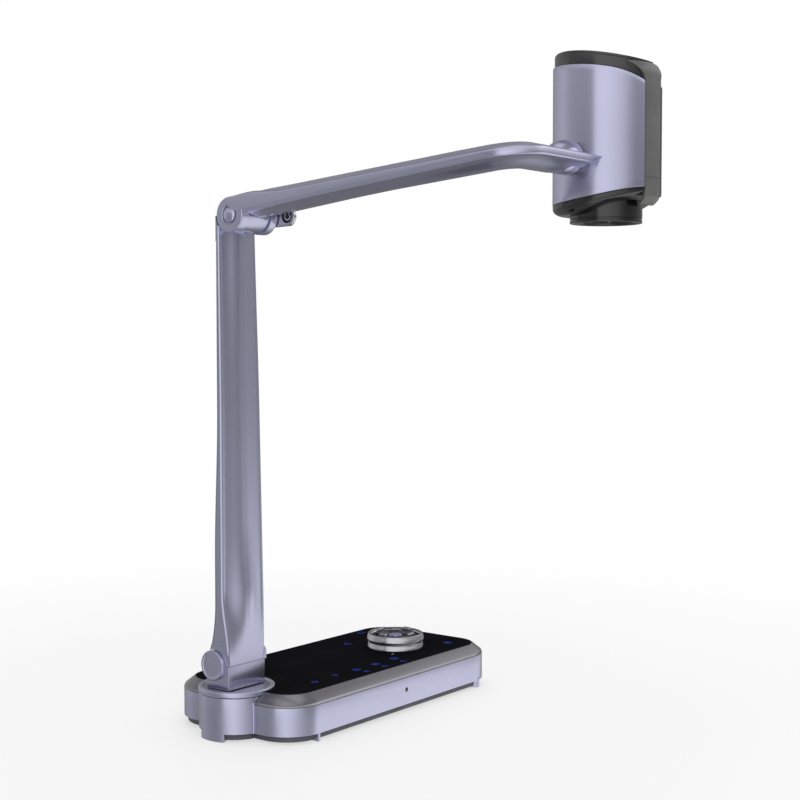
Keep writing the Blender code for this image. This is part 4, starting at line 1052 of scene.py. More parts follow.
    def build_ports(self) -> None:
        """Builds the dark panel in the rear wall and its sockets with their tongues and pins."""
        low, high = in_mm(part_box("port_panel"))
        face = high.y
        plate = Solid.block((low.x + 3, face - 1.6, low.z), (high.x - 3, face, high.z), 0.25)
        nodes = ("dc_jack", "usb_b_port", "usb_a_port", "hdmi_port", "vga_port")
        rooms = []
        for node in nodes:
            a, b = in_mm(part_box(node))
            rooms.append(Solid.block((a.x - 0.2, face - 5, a.z - 0.2), (b.x + 0.2, face + 2, b.z + 0.2)))
        plate.cut(*rooms)
        self.shop.piece("port_plate", plate, MATT_BLACK, Body.BASE, Slot.MATT, ["port_panel"])
        for node in nodes:
            self.build_socket(node)
        steps = ((0, -1), (1.9, -1), (1.9, -0.2), (1.5, 0), (0.9, 0), (0.8, -0.4), (0, -0.4))
        for number, x in enumerate(self.port_screws, 1):
            screw = Solid.turned(offset(0, face, steps), (x, 0, (low.z + high.z) / 2), Axis.Y, 28)
            self.shop.piece(f"port_screw_{number}", screw, STEEL, Body.BASE, Slot.STEEL)

    def build_socket(self, node: str) -> None:
        """Builds one socket: its shell, and the tongue or pins inside."""
        a, b = in_mm(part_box(node))
        mouth, wall = b.y, self.port_wall
        x, z = (a.x + b.x) / 2, (a.z + b.z) / 2
        shell = Solid.block(tuple(a), tuple(b), 0.3)
        dark = node in ("dc_jack", "vga_port")
        inner: list[Solid] = []
        if node == "dc_jack":
            shell.cut(Solid.rod(3.5, mouth - 9, mouth + 2, (x, 0, z), Axis.Y, 40))
            inner.append(Solid.rod(0.9, mouth - 9.5, mouth - 1.2, (x, 0, z), Axis.Y, 24, 0.3))
        elif node == "vga_port":
            half = (b.x - a.x) / 2
            groove = Solid.block((a.x + 0.8, mouth - 1, a.z + 0.8), (b.x - 0.8, mouth + 2, b.z - 0.8))
            corners = [(x - half + 2.2, z - 3.6), (x + half - 2.2, z - 3.6)]
            corners += [(x + half - 1.2, z + 3.6), (x - half + 1.2, z + 3.6)]
            lip = filleted([(a, b, 1.4) for a, b in corners])
            shell.cut(groove)
            shell.with_shells(Solid.loft([[(px, y, pz) for px, pz in lip] for y in (mouth - 3, mouth - 0.1)]))
            for row in range(3):
                for k in range(5):
                    place = (x + (k - 2) * 2.6 + (row - 1) * 0.8, 0, z + (row - 1) * 2.0)
                    inner.append(Solid.rod(0.42, mouth - 0.5, mouth - 0.04, place, Axis.Y, 12))
        else:
            pocket = Solid.block((a.x + wall, mouth - 9, a.z + wall), (b.x - wall, mouth + 2, b.z - wall))
            shell.cut(pocket)
            deep = {"usb_b_port": 2.6, "usb_a_port": 0.9, "hdmi_port": 0.8}[node]
            lift = 0.9 if node == "usb_a_port" else 0.0
            half = (b.x - a.x) / 2 - wall - 1.6
            low, high = (x - half, mouth - 9.5, z + lift - deep), (x + half, mouth - 1.2, z + lift + deep)
            inner.append(Solid.block(low, high, 0.25))
        slot = Slot.MATT if dark else Slot.STEEL
        self.shop.piece(f"{node}_shell", shell, MATT_BLACK if dark else STEEL, Body.BASE, slot, [node])
        core = inner[0].with_shells(*inner[1:])
        finish = GOLD if dark else MATT_BLACK
        self.shop.piece(f"{node}_core", core, finish, Body.BASE, slot)


@dataclass
class SymbolSheet:
    """The touch panel's thin symbols, all of them generic."""

    shop: Workshop
    level: float
    thin: float = 0.55
    rise: float = HAIR
    sunk: float = 0.2

    def stroke(self, outline: Sequence[Point2]) -> Solid:
        """Lays an outline on the panel."""
        return Solid.prism(outline, self.level - self.sunk, self.level + self.rise)

    def bar(self, x: float, y: float, long: float, turn: float = 0.0, wide: float = 0.0) -> Solid:
        """Makes one straight stroke about its middle."""
        half, side = long / 2, (wide or self.thin) / 2
        points = [Vector((a, b)) for a, b in ((-half, -side), (half, -side), (half, side), (-half, side))]
        spin = Matrix.Rotation(math.radians(turn), 2)
        flat = [tuple(Vector((x, y)) + spin @ point) for point in points]
        return self.stroke(flat)

    def ring(self, x: float, y: float, radius: float, start: float = 0.0, end: float = 360.0) -> Solid:
        """Makes a round stroke, or a part of one."""
        a, b = math.radians(start), math.radians(end)
        half = self.thin / 2
        points = arc(x, y, radius + half, a, b, 40) + arc(x, y, radius - half, b, a, 40)
        return self.stroke(points)

    def dot(self, x: float, y: float, radius: float) -> Solid:
        """Makes a filled spot."""
        return self.stroke(arc(x, y, radius, 0, math.tau * 35 / 36, 35))

    def group(self, name: str, strokes: list[Solid], finish: Finish) -> None:
        """Makes one piece of several strokes."""
        sheet = strokes[0].with_shells(*strokes[1:])
        self.shop.piece(name, sheet, finish, Body.BASE, Slot.BLUE)

    def build(self) -> None:
        """Builds the bright symbols, the faint ones and the small white mark."""
        ring, bar, dot = self.ring, self.bar, self.dot
        menu = [bar(124.4, -38.8 + k, 6.6) for k in (-2, 0, 2)]
        power = [ring(47.3, -39.2, 2.6, 125, 415), bar(47.3, -37.4, 3.0, 90)]
        minus = [ring(99.7, -39.1, 3.0), bar(99.7, -39.1, 3.4)]
        plus = [ring(150.2, -38.8, 3.0), bar(150.2, -38.8, 3.4), bar(150.2, -38.8, 3.4, 90)]
        shot = [ring(228.4, -37.6, 3.0), dot(228.4, -37.6, 1.4)]
        back = [ring(170.4, 29.6, 2.8, 40, 330), bar(173.2, 31.6, 2.2, 40)]
        self.group("symbols_bright", menu, LitPrint(strength=0.29))
        self.group("symbols_lit", power + minus + plus + shot + back, LitPrint(strength=0.11))
        lamp = [ring(74.9, -36.6, 1.6), bar(74.9, -39.4, 1.6)]
        sun = [dot(100.6, -48.7, 1.1)]
        for a in (k * math.pi / 4 for k in range(8)):
            sun.append(bar(100.6 + 2.3 * math.cos(a), -48.7 + 2.3 * math.sin(a), 1.1, math.degrees(a), 0.4))
        lens = [ring(123.5, -49.2, 1.9), bar(126.0, -51.3, 2.0, -40)]
        turn = [ring(147.5, -50.4, 2.2, 60, 340), bar(149.0, -48.2, 1.8, -30)]
        frame = [bar(214.1, y, 6) for y in (47.6, 51.8)] + [bar(x, 49.7, 4.4, 90) for x in (211.2, 217.0)]
        self.group("symbols_faint", lamp + sun + lens + turn + frame, LitPrint(strength=0.035))
        self.group("status_mark", [bar(162.7, -27.1, 2.4, 0, 0.8)], LitPrint((0.5, 0.5, 0.55), 0.2))


# ---------------------------------------------------------------- dial


@dataclass
class DialAssembly:
    """The jog dial: a fixed ring, a turning ring, four wedge keys and a round key between them."""

    shop: Workshop
    radius: float = 25.0
    hub_gap: float = 0.4
    jog_wall: float = 3.7
    groove: float = 1.3
    key_in: float = 8.0
    key_gap: float = 3.3
    key_half_in: float = 3.2
    key_half_out: float = 7.8
    key_deep: float = 2.5
    centre_r: float = 5.8
    lean: float = 0.95
    neck_in: float = 1.6
    band_round: float = 0.7
    button_dome: float = 1.6
    tab_half: float = 4.0
    tab_up: float = 2.0

    def __post_init__(self) -> None:
        """Reads the dial's place from the CAD nodes' boxes."""
        self.centre = middle_of("jog_ring")
        self.hub_r = self.radius - self.jog_wall - self.hub_gap
        self.hub_top = top_of("dial_hub")
        self.key_out = self.hub_r - self.key_gap

    def build(self) -> None:
        """Builds the dial's pieces."""
        place = (self.centre.x, self.centre.y, 0)
        low = foot_of("dial_base_ring")
        neck_top = top_of("dial_base_ring")
        top = neck_top - self.groove
        bore = self.hub_r + GAP
        neck = self.radius - self.neck_in
        profile = [(bore, low), *self.band(low, top), (neck, top), (neck, neck_top), (bore, neck_top)]
        ring = Solid.turned(profile, place, steps=160, ring=True)
        self.shop.piece("dial_band_low", ring, DIAL, Body.BASE, Slot.METAL, ["dial_base_ring"])

        low, top = foot_of("jog_ring"), top_of("jog_ring")
        bore = self.hub_r + self.hub_gap
        rim = self.radius - self.lean
        lip = offset(rim, top, ((-1.2, 0), (-1.5, -0.35)))
        profile = [*self.band(low, top), *lip, (bore, top - 2.2), (bore, low)]
        jog = Solid.turned(profile, place, steps=160, ring=True)
        self.shop.piece("dial_band_turning", jog, DIAL, Body.JOG, Slot.METAL, ["jog_ring"])
        outer, inner = rim - 1.5, bore + 0.1
        cone = [(outer, top - 0.3), (inner, top - 2.1), (inner, top - 3.4), (outer, top - 1.2)]
        dish = Solid.turned(cone, place, steps=160, ring=True)
        self.shop.piece("dial_dish", dish, GLOSS_BLACK, Body.JOG, Slot.METAL)
        self.build_hub(place)
        self.build_keys()

    def band(self, low: float, top: float) -> list[Point2]:
        """Gives a band's outer wall, which leans in a little towards its rounded top."""
        rim, edge = self.radius - self.lean, self.band_round
        turn = [(rim - inset, top - edge + rise) for inset, rise in rounding(edge, 5)]
        shares = [k / 6 for k in range(6)]
        sag = [(self.radius - self.lean * t**1.4, mix(low + 0.5, top - 0.9, t)) for t in shares]
        return [(self.radius - 0.4, low), (self.radius - 0.1, low + 0.15), *sag, *turn]

    def build_hub(self, place: Point3) -> None:
        """Builds the dark well that the keys stand in."""
        low, top = foot_of("dial_hub"), self.hub_top
        lip = offset(self.hub_r, top, ((0, -0.6), (-0.2, -0.2), (-0.6, 0), (-1.4, -0.5)))
        well = offset(self.centre_r, top, ((1.5, -1.0), (1.0, -0.2), (0.35, -0.2), (0.3, -3.6)))
        profile = [(0, low), (self.hub_r, low), *lip, *well, (0, top - 3.6)]
        hub = Solid.turned(profile, place, steps=120)
        self.shop.piece("dial_well", hub, MATT_BLACK, Body.BASE, Slot.MATT, ["dial_hub"])

    def key_outline(self, grow: float = 0.0) -> list[Point2]:
        """Gives a wedge key's outline, its inner end towards the dial's middle."""
        out = self.key_out
        corners = [
            (self.key_in - grow, -self.key_half_in - grow, 1.4),
            (out + grow, -self.key_half_out - grow, 2.4),
            (out + 1.5 + grow, 0, 6),
            (out + grow, self.key_half_out + grow, 2.4),
            (self.key_in - grow, self.key_half_in + grow, 1.4),
        ]
        return filleted(corners, 9)

    def build_keys(self) -> None:
        """Builds the four wedge keys and the round one."""
        bottom = self.hub_top - self.key_deep
        outline = self.key_outline()
        middle = Vector(((self.key_in + self.key_out) / 2, 0))
        reach = self.key_out + 1.5 - self.key_in

        def crown(x: float) -> float:
            return self.hub_top + mix(0.8, 3.0, (x - self.key_in) / reach)

        here = Matrix.Translation((self.centre.x, self.centre.y, 0))
        tab_top = top_of("jog_ring") + self.tab_up
        tab_low = (self.key_out - 2.4, -self.tab_half, self.hub_top + 1)
        tab_high = (self.key_out + 0.9, self.tab_half, tab_top)
        turn = rounding(1.1, 6)
        bodies = (Body.KEY_1, Body.KEY_2, Body.KEY_3, Body.KEY_4)
        for number, body in enumerate(bodies):
            rings = [[(x, y, bottom) for x, y in outline]]
            for inset, rise in turn:
                flat = [middle + (Vector(p) - middle) * (1 - inset / 7.5) for p in outline]
                rings.append([(p.x, p.y, crown(p.x) - 1.1 + rise) for p in flat])
            for scale, drop in ((0.72, 0.12), (0.45, 0.32), (0.2, 0.38)):
                flat = [middle + (Vector(p) - middle) * scale for p in outline]
                rings.append([(p.x, p.y, crown(p.x) - drop) for p in flat])
            key = Solid.loft(rings)
            spin = Matrix.Rotation(number * math.pi / 2, 4, "Z")
            key.moved(here @ spin)
            name = f"key_cap_{number + 1}"
            self.shop.piece(name, key, KEY_SATIN, body, Slot.KEY, [f"nav_key_{number + 1}"], crease=40)
            tab = Solid.block(tab_low, tab_high, 1.4)
            tab.moved(here @ spin)
            self.shop.piece(f"key_tab_{number + 1}", tab, KEY_TAB, body, Slot.KEY)
        top = top_of("centre_key")
        dome = domed(self.centre_r, top - self.button_dome, self.button_dome, 24, 12)
        profile = [(0, bottom), (self.centre_r, bottom), *dome, (0, top)]
        button = Solid.turned(profile, (self.centre.x, self.centre.y, 0), steps=72)
        self.shop.piece("centre_button", button, KEY_BLUE, Body.KEY_CENTRE, Slot.BLUE, ["centre_key"])


# ---------------------------------------------------------------- turntable


@dataclass
class TurntableAssembly:
    """The swivelling cap on the turret with the bracket and hinge that carry the column."""

    shop: Workshop
    cap_r: float = 30.0
    rim: float = 4.0
    half: float = COLUMN_HALF
    ear_r: float = 11.2
    ear_thick: float = EAR_THICK
    cover_r: float = 11.7
    back: float = BRACKET_BACK

    def build(self) -> None:
        """Builds the turntable's pieces."""
        low, top = foot_of("turntable_cap"), top_of("turntable_cap")
        inner = self.cap_r - self.rim
        outer = [(self.cap_r - inset, z) for inset, z in edged(low, top, 1.3, 7)]
        profile = [(inner, low), *outer, (inner + 1.0, top), (inner + 0.3, top - 0.25), (inner, top - 0.9)]
        cap = Solid.turned(profile, steps=180, ring=True)
        self.shop.piece("turret_rim", cap, SHELL, Body.TURNTABLE, Slot.METAL, ["turntable_cap"])
        disc_top = top_of("turntable_disc")
        disc = Solid.rod(inner - 0.15, low, disc_top, steps=140, edge=0.3)
        # The disc is dressed darker than the rim of the same metal: painted shade in the recess.
        self.shop.piece("turret_disc", disc, DISC_PAINTED_SHADE, Body.TURNTABLE, Slot.METAL, ["turntable_disc"])
        self.build_bracket(disc_top + GAP)
        self.build_hinge_caps()

    def build_bracket(self, low: float) -> None:
        """Builds the block under the column and its two hinge ears."""
        front = in_mm(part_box("foot_bracket"))[0].y
        hinge = middle_of("lower_axle")
        top = hinge.z + 0.2
        corners = [(front, low, 1.0), (self.back, low, 1.0), (self.back, top, 0), (front, top, 0.5)]
        bracket = Solid.prism(filleted(corners), -self.half, self.half, Axis.X).bevelled(0.35)
        inside = self.half - self.ear_thick
        pocket = Solid.rod(self.ear_r + GAP, -inside, inside, tuple(hinge), Axis.X, 96)
        pocket.moved(Matrix.Translation((-hinge.x, 0, 0)))
        bracket.cut(pocket)
        for side, _ in SIDES:
            ends = sorted((side * inside, side * (self.half - 0.15)))
            bracket.with_shells(Solid.rod(self.ear_r, *ends, (0, hinge.y, hinge.z), Axis.X, 96, 0.4))
        self.shop.piece("bracket", bracket, SATIN, Body.TURNTABLE, Slot.METAL, ["foot_bracket"])

    def build_hinge_caps(self) -> None:
        """Builds the round covers on both ends of the hinge."""
        radius = self.cover_r
        for side, name in SIDES:
            node = f"hinge_cap_{name}"
            low, high = in_mm(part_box(node))
            place = middle_of(node)
            face, rim = (low.x, high.x) if side > 0 else (high.x, low.x)
            out = side * 1.0
            turn = [(radius - inset, rim - out * (0.9 - rise)) for inset, rise in rounding(0.9, 6)]
            steps = ((-1.6, 0), (-2.0, -out * 0.12), (-2.4, -out * 0.5), (-3.2, -out * 0.62))
            dish = offset(radius, rim, steps)
            middle = [(radius * 0.4, rim - out * 0.5), (0, rim - out * 0.46)]
            profile = [(0, face), (radius, face), *turn, *dish, *middle]
            cover = Solid.turned(profile, (0, place.y, place.z), Axis.X, 120)
            self.shop.piece(f"hinge_cover_{name}", cover, SATIN, Body.TURNTABLE, Slot.METAL, [node])


# ---------------------------------------------------------------- fluted section


class Fluting:
    """The section that the column and the arm share: bright edge bands, flutes and a raised crown."""

    BAND = 0.9
    DIP = 0.03
    START = 0.68
    EDGE = 1.7
    HALF = 20.0

    @classmethod
    def swell(cls, t: float) -> float:
        """Tells how far from the edge's level to the crown's the surface stands.

        Args:
            t: the place across, 0 in the middle and 1 at either edge.

        Returns:
            The share, slightly under 0 in the flute.
        """
        t = abs(t)
        if t >= cls.BAND:
            return 0.0
        rise = 0.5 * (1 + math.cos(math.pi * min(1.0, max(0.0, (t - 0.08) / 0.76))))
        dip = cls.DIP * math.sin(math.pi * (t - cls.START) / (cls.BAND - cls.START)) if t > cls.START else 0.0
        return rise - dip

    @classmethod
    def row(cls, edge: float, crown: float) -> list[Point2]:
        """Gives (t, level) across the section from one rounded edge to the other.

        Args:
            edge: the edge bands' level.
            crown: the middle's level.

        Returns:
            The points.
        """
        inner = [i * 0.045 for i in range(1, 20)] + [0.885, cls.BAND]
        back = 1 if crown < edge else -1
        half = [(t, mix(edge, crown, cls.swell(t))) for t in inner]
        for inset, rise in reversed(rounding(cls.EDGE, 5)):
            half.append((1 - inset / cls.HALF, edge + back * (cls.EDGE - rise)))
        return [(-t, level) for t, level in reversed(half)] + [(0.0, crown)] + half


# ---------------------------------------------------------------- column


@dataclass
class ColumnAssembly:
    """The upright: a fluted front shell, a flat back cover and a knuckle at each end."""

    shop: Workshop
    half: float = COLUMN_HALF
    bracket_top: float = 57.0
    shank_front: float = -4.4
    head_front: float = -3.2
    shank_back: float = 3.2
    crown: float = -7.2
    crown_head: float = -7.8
    skew_most: float = 7.8
    crown_flare: float = 165.0
    flare_low: float = 62.0
    flare_top: float = 114.0
    back_flare: float = 48.0
    step_low: float = 139.0
    step_top: float = 253.0
    shoulder: float = 397.5
    knuckle_r: float = 12.2
    knuckle_half: float = 12.0
    cheek_r: float = CHEEK_R
    ear_thick: float = EAR_THICK
    ear_room: float = 12.0
    barrel_r: float = 10.9
    bracket_back: float = BRACKET_BACK
    cover_thick: float = 1.3
    cover_round: float = 0.9
    screw_heights: Point2 = (118.0, 330.0)
    screw_x: float = 11.0

    def __post_init__(self) -> None:
        """Reads the hinges' places from the CAD nodes' boxes."""
        self.bracket_front = in_mm(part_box("foot_bracket"))[0].y
        self.hinge = middle_of("lower_axle")
        self.elbow = middle_of("elbow_cap")
        self.cover_low = foot_of("column_cover")
        self.cover_top = top_of("column_cover")

    def front(self, z: float) -> float:
        """Gives the y of the edge bands at a height."""
        flare = smooth(self.flare_low, self.flare_top, z)
        low = mix(self.bracket_front, self.shank_front, flare)
        return mix(low, self.head_front, smooth(self.step_top, self.shoulder, z))

    def crest(self, z: float) -> float:
        """Gives the y of the crown at a height."""
        shank = mix(self.crown, self.crown_head, smooth(self.step_top, self.shoulder, z))
        return mix(self.bracket_front, shank, smooth(self.bracket_top, self.crown_flare, z))

    def back(self, z: float) -> float:
        """Gives the y of the back cover's face at a height."""
        t = min(1.0, max(0.0, (z - self.bracket_top) / self.back_flare))
        shank = mix(self.bracket_back, self.shank_back, 1 - (1 - t) ** 2)
        return shank * (1 - smooth(self.step_low, self.step_top, z))

    def build(self) -> None:
        """Builds the column's pieces."""
        self.build_shell()
        self.build_cover()
        self.build_knuckles()

    def skew(self, z: float) -> float:
        """Gives how much further forward the right edge stands than the left one at a height."""
        reach = (z - self.flare_low) / (self.shoulder - self.flare_low)
        return -self.skew_most * smooth(self.flare_low, self.flare_top, z) * (1 - reach)

    def build_shell(self) -> None:
        """Builds the fluted front shell with the rooms for the hinge's ears and the arm's cheeks."""
        low = self.bracket_top + GAP
        count = 64
        heights = [low + (self.shoulder - low) * (i / count) ** 1.25 for i in range(count + 1)]
        heights += [mix(self.shoulder, self.elbow.z - 0.3, k / 4) for k in range(1, 5)]
        edges = (self.cover_low - GAP, self.cover_top + GAP)
        heights = sorted([*heights, edges[0], edges[0] + 0.05, edges[1] - 0.05, edges[1]])
        rings = []
        for z in heights:
            covered = edges[0] < z < edges[1]
            back = self.back(z) - (self.cover_thick + GAP if covered else 0)
            skew = self.skew(z)
            row = Fluting.row(self.front(z), self.crest(z))
            ring = [(t * self.half, y + skew * (t + 1) / 2, z) for t, y in row]
            rings.append(ring + [(self.half, back, z), (-self.half, back, z)])
        shell = Solid.loft(rings)
        inside = self.half - self.ear_thick - GAP
        hinge = (0, self.hinge.y, self.hinge.z)
        elbow = (0, self.elbow.y, self.elbow.z)
        for side, _ in SIDES:
            ends = sorted((side * inside, side * (self.half + 5)))
            shell.cut(Solid.rod(self.ear_room, *ends, hinge, Axis.X, 96))
            ends = sorted((side * self.knuckle_half, side * (self.half + 5)))
            shell.cut(Solid.rod(self.cheek_r + 0.25, *ends, elbow, Axis.X, 120))
        self.shop.piece("column_front", shell, SATIN, Body.COLUMN, Slot.METAL, ["column_shell"], crease=28)

    def build_cover(self) -> None:
        """Builds the flat cover on the column's back, with its edges turned over."""
        rings = []
        count = 70
        for i in range(count + 1):
            z = mix(self.cover_low, self.cover_top, i / count)
            back = self.back(z)
            half = self.half
            edge = self.cover_round
            turn = [(half - inset, back - edge + rise) for inset, rise in rounding(edge)]
            ring = [(-half, back - self.cover_thick, z), (half, back - self.cover_thick, z)]
            ring += [(x, y, z) for x, y in turn] + [(-x, y, z) for x, y in reversed(turn)]
            rings.append(ring)
        cover = Solid.loft(rings)
        steps = ((0, -0.3), (1.3, -0.3), (1.5, 0), (2.6, 0), (2.9, -0.35), (2.9, -1), (0, -1))
        for z in self.screw_heights:
            for side, name in SIDES:
                centre = (side * self.screw_x, 0, z)
                face = self.back(z)
                cover.cut(Solid.rod(3.1, face - 0.4, face + 4, centre, Axis.Y, 28))
                profile = [(r, y - 0.12) for r, y in offset(0, face, steps)]
                screw = Solid.turned(profile, centre, Axis.Y, 28)
                self.shop.piece(f"cover_screw_{int(z)}_{name}", screw, STEEL, Body.COLUMN, Slot.STEEL)
        self.shop.piece("column_back", cover, SATIN, Body.COLUMN, Slot.METAL, ["column_cover"])

    def build_knuckles(self) -> None:
        """Builds the barrels that turn in the bracket and between the arm's cheeks."""
        inside = self.half - self.ear_thick - GAP
        low = Solid.rod(self.barrel_r, -inside, inside, (0, self.hinge.y, self.hinge.z), Axis.X, 120, 0.3)
        self.shop.piece("lower_barrel", low, SATIN, Body.COLUMN, Slot.METAL)
        centre = (0, self.elbow.y, self.elbow.z)
        half = self.knuckle_half - 0.1
        crown = [(self.knuckle_r - inset, x) for inset, x in edged(-half, half, 0.4)]
        barrel = Solid.turned([(0, -half), *crown, (0, half)], centre, Axis.X, 140)
        self.shop.piece("elbow_barrel", barrel, SATIN, Body.COLUMN, Slot.METAL)


# ---------------------------------------------------------------- arm


@dataclass
class ArmAssembly:
    """The L-shaped arm: fluted shell, underside cover, elbow cheeks, ear, wrist pod and flange."""

    shop: Workshop
    pitch: float = 6.7
    half: float = 20.0
    length: float = 263.5
    end_wide: float = 39.5
    outer_r: float = 31.0
    inner_r: float = 7.0
    crown_root: float = 16.9
    crown_top: float = 10.2
    taper: float = 240.0
    dip: float = 3.0
    fall: float = 5.5
    edge_under: float = -0.7
    crown_under: float = -3.0
    deeper: float = 3.8
    deep_from: float = 94.0
    deep_to: float = 223.0
    split: float = 1.7
    cheek_r: float = CHEEK_R
    barrel_r: float = 12.5
    cheek_in: float = 12.3
    pod_r: float = 12.0
    pod_half: float = 20.0
    pod_x: float = 63.0
    pod_up: float = 4.2
    pod_room: float = 0.25
    seam: float = 0.05
    button_r: float = 6.0
    button_dome: float = 2.4
    flange_bore: float = 2.55
    ear_reach: float = 22.0
    ear_round: float = 8.0
    boss_r: float = 7.3
    boss_bore: float = 5.1

    def __post_init__(self) -> None:
        """Reads the elbow's and the wrist's places from the CAD nodes' boxes."""
        elbow = middle_of("elbow_cap")
        slope = math.radians(self.pitch)
        self.frame = Matrix.Translation((0, elbow.y, elbow.z)) @ Matrix.Rotation(-slope, 4, "X")
        wrist = self.frame.inverted() @ middle_of("wrist_flange")
        self.wrist_s = -wrist.y
        self.end_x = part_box("wrist_flange")[1].x / MM

    def build(self) -> None:
        """Builds the arm's pieces."""
        self.build_shell()
        self.build_cover()
        self.build_elbow()
        self.build_ear()
        self.build_wrist()

    def stations(self, start: float) -> list[tuple[Point2, Point2]]:
        """Gives the rails in the arm's plane.

        Args:
            start: how far from the elbow they begin.

        Returns:
            (outer, inner) rail points, from the elbow round the corner to the wrist's end.
        """
        inner_s = self.length - self.end_wide
        bend_out = (-self.half + self.outer_r, self.length - self.outer_r)
        bend_in = (self.half + self.inner_r, inner_s - self.inner_r)
        made: list[tuple[Point2, Point2]] = []
        count = 48
        for i in range(count):
            s = start + (bend_in[1] - 14 - start) * (i / (count - 1)) ** 1.3
            made.append(((-self.half, s), (self.half, s)))
        count = 30
        for i in range(count + 1):
            angle = i / count * math.pi / 2
            x, s = -math.cos(angle), math.sin(angle)
            outer = (bend_out[0] + self.outer_r * x, bend_out[1] + self.outer_r * s)
            inner = (bend_in[0] + self.inner_r * x, bend_in[1] + self.inner_r * s)
            made.append((outer, inner))
        for k in (0.2, 0.4, 0.6, 0.8, 0.95, 1.0):
            outer = (mix(bend_out[0], self.end_x, k), self.length)
            inner = (mix(bend_in[0], self.end_x, k), inner_s)
            made.append((outer, inner))
        return made

    @staticmethod
    def ring(station: tuple[Point2, Point2], rows: Sequence[Point2]) -> list[Point3]:
        """Gives a section across two rail points, in the arm's own frame."""
        (x0, s0), (x1, s1) = station
        return [(mix(x0, x1, (t + 1) / 2), -mix(s0, s1, (t + 1) / 2), up) for t, up in rows]

    def pod(self, grow: float, end: float, steps: int = 26) -> Solid:
        """Makes the wrist pod's egg, cut off flat at an end."""
        mouth = min(end, self.end_x)
        start = self.pod_x - self.pod_half - grow
        profile: list[Point2] = []
        for i in range(steps + 1):
            x = mix(start, mouth, 1 - math.cos(i / steps * math.pi / 2))
            swing = min(1.0, abs(x - self.pod_x) / (self.pod_half + grow))
            profile.append(((self.pod_r + grow) * math.sqrt(1 - swing * swing), x))
        profile[0] = (0, start)
        if end > mouth:
            profile.append((profile[-1][0], end))
        profile.append((0, end))
        return Solid.turned(profile, (0, -self.wrist_s, self.pod_up), Axis.X, 84)

    def upper(self, s: float) -> Point2:
        """Gives the heights of the upper shell's edges and crown at a distance from the elbow."""
        crown = mix(self.crown_root, self.crown_top, min(1.0, s / self.taper))
        crown -= self.dip * (1 - smooth(0, 30, s))
        return crown - 0.3 - self.fall * smooth(0, 60, s), crown

    def lower(self, s: float) -> Point2:
        """Gives the heights of the lower cover's edges and crown at a distance from the elbow."""
        share = min(1.0, max(0.0, (s - self.deep_from) / (self.deep_to - self.deep_from)))
        return self.edge_under - self.deeper * 0.4 * share, self.crown_under - self.deeper * share

    def build_shell(self) -> None:
        """Builds the fluted upper shell."""
        split = self.split + self.seam
        rings = []
        for station in self.stations(0.0):
            edge, crown = self.upper(station[0][1])
            rings.append(self.ring(station, Fluting.row(edge, crown) + [(1, split), (-1, split)]))
        shell = Solid.loft(rings)
        shell.cut(Solid.rod(self.barrel_r + 0.2, -self.cheek_in, self.cheek_in, axis=Axis.X, steps=120))
        shell.cut(self.pod(self.pod_room, self.end_x + 5))
        shell.moved(self.frame)
        self.shop.piece("arm_top", shell, SATIN, Body.ARM, Slot.METAL, ["arm_shell"], crease=28)

    def build_cover(self) -> None:
        """Builds the cover under the arm."""
        split = self.split - self.seam
        rings = []
        for station in self.stations(self.cheek_r + 2 * GAP):
            rows = Fluting.row(*self.lower(station[0][1]))
            rings.append(self.ring(station, rows + [(1, split), (-1, split)]))
        cover = Solid.loft(rings)
        cover.cut(self.pod(self.pod_room, self.end_x + 5))
        cover.moved(self.frame)
        self.shop.piece("arm_under", cover, SATIN, Body.ARM, Slot.METAL, ["arm_cover"], crease=28)

    def build_elbow(self) -> None:
        """Builds the round cheeks beside the column's barrel and the button on the left one."""
        radius = self.cheek_r
        for side, name in SIDES:
            out = side * 1.0
            face = side * (self.half - 0.1)
            inner = side * self.cheek_in
            turn = [(radius - inset, face - out * (1.2 - rise)) for inset, rise in rounding(1.2, 8)]
            groove = [(7.5, face), (7.15, face - out * 0.3), (7.1, face - out * 1.6), (0, face - out * 1.6)]
            cheek = Solid.turned([(0, inner), (radius, inner), *turn, *groove], axis=Axis.X, steps=140)
            self.shop.piece(f"cheek_{name}", cheek.moved(self.frame), SATIN, Body.ARM, Slot.METAL)
        low, high = in_mm(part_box("elbow_cap"))
        rim = low.x
        dome = domed(self.button_r, rim + self.button_dome, -self.button_dome, 28, 14)
        profile = [(0, high.x + 2), (self.button_r, high.x + 2), *dome, (0, rim)]
        button = Solid.turned(profile, axis=Axis.X, steps=84)
        button.moved(self.frame)
        self.shop.piece("elbow_button", button, SATIN, Body.ARM, Slot.METAL, ["elbow_cap"])

    def build_ear(self) -> None:
        """Builds the ear plate on the right cheek, whose boss stands forward of the elbow."""
        slope = math.radians(self.pitch)
        boss = Matrix.Rotation(slope, 3, "X") @ Vector((0, -self.ear_reach, 0))
        lean = math.atan2(boss.z, boss.y)
        outline = arc(0, 0, self.ear_round, lean + math.pi / 2, lean + 1.5 * math.pi, 36)
        outline += arc(boss.y, boss.z, self.boss_r, lean - math.pi / 2, lean + math.pi / 2, 36)
        low, high = in_mm(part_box("elbow_ear"))
        ear = Solid.prism(outline, low.x, high.x, Axis.X, 0.6)
        bore = Solid.rod(self.boss_bore, low.x - 1, low.x + 1.8, tuple(boss), Axis.X, 60)
        ear.cut(bore)
        self.shop.piece("ear", ear.moved(self.frame), DIAL, Body.ARM, Slot.METAL, ["elbow_ear"])
        ring = Solid.tube(2.2, 3.0, low.x + 0.5, low.x + 1.7, tuple(boss), Axis.X, 60, 0.25)
        self.shop.piece("ear_ring", ring.moved(self.frame), CHROME, Body.ARM, Slot.METAL)
        # A matt black disc floors the boss's bore: painted shade of the recess.
        core = Solid.rod(5.0, low.x + 1.3, low.x + 1.9, tuple(boss), Axis.X, 60, 0.2)
        self.shop.piece("ear_bore_shade", core.moved(self.frame), MATT_BLACK, Body.ARM, Slot.MATT)

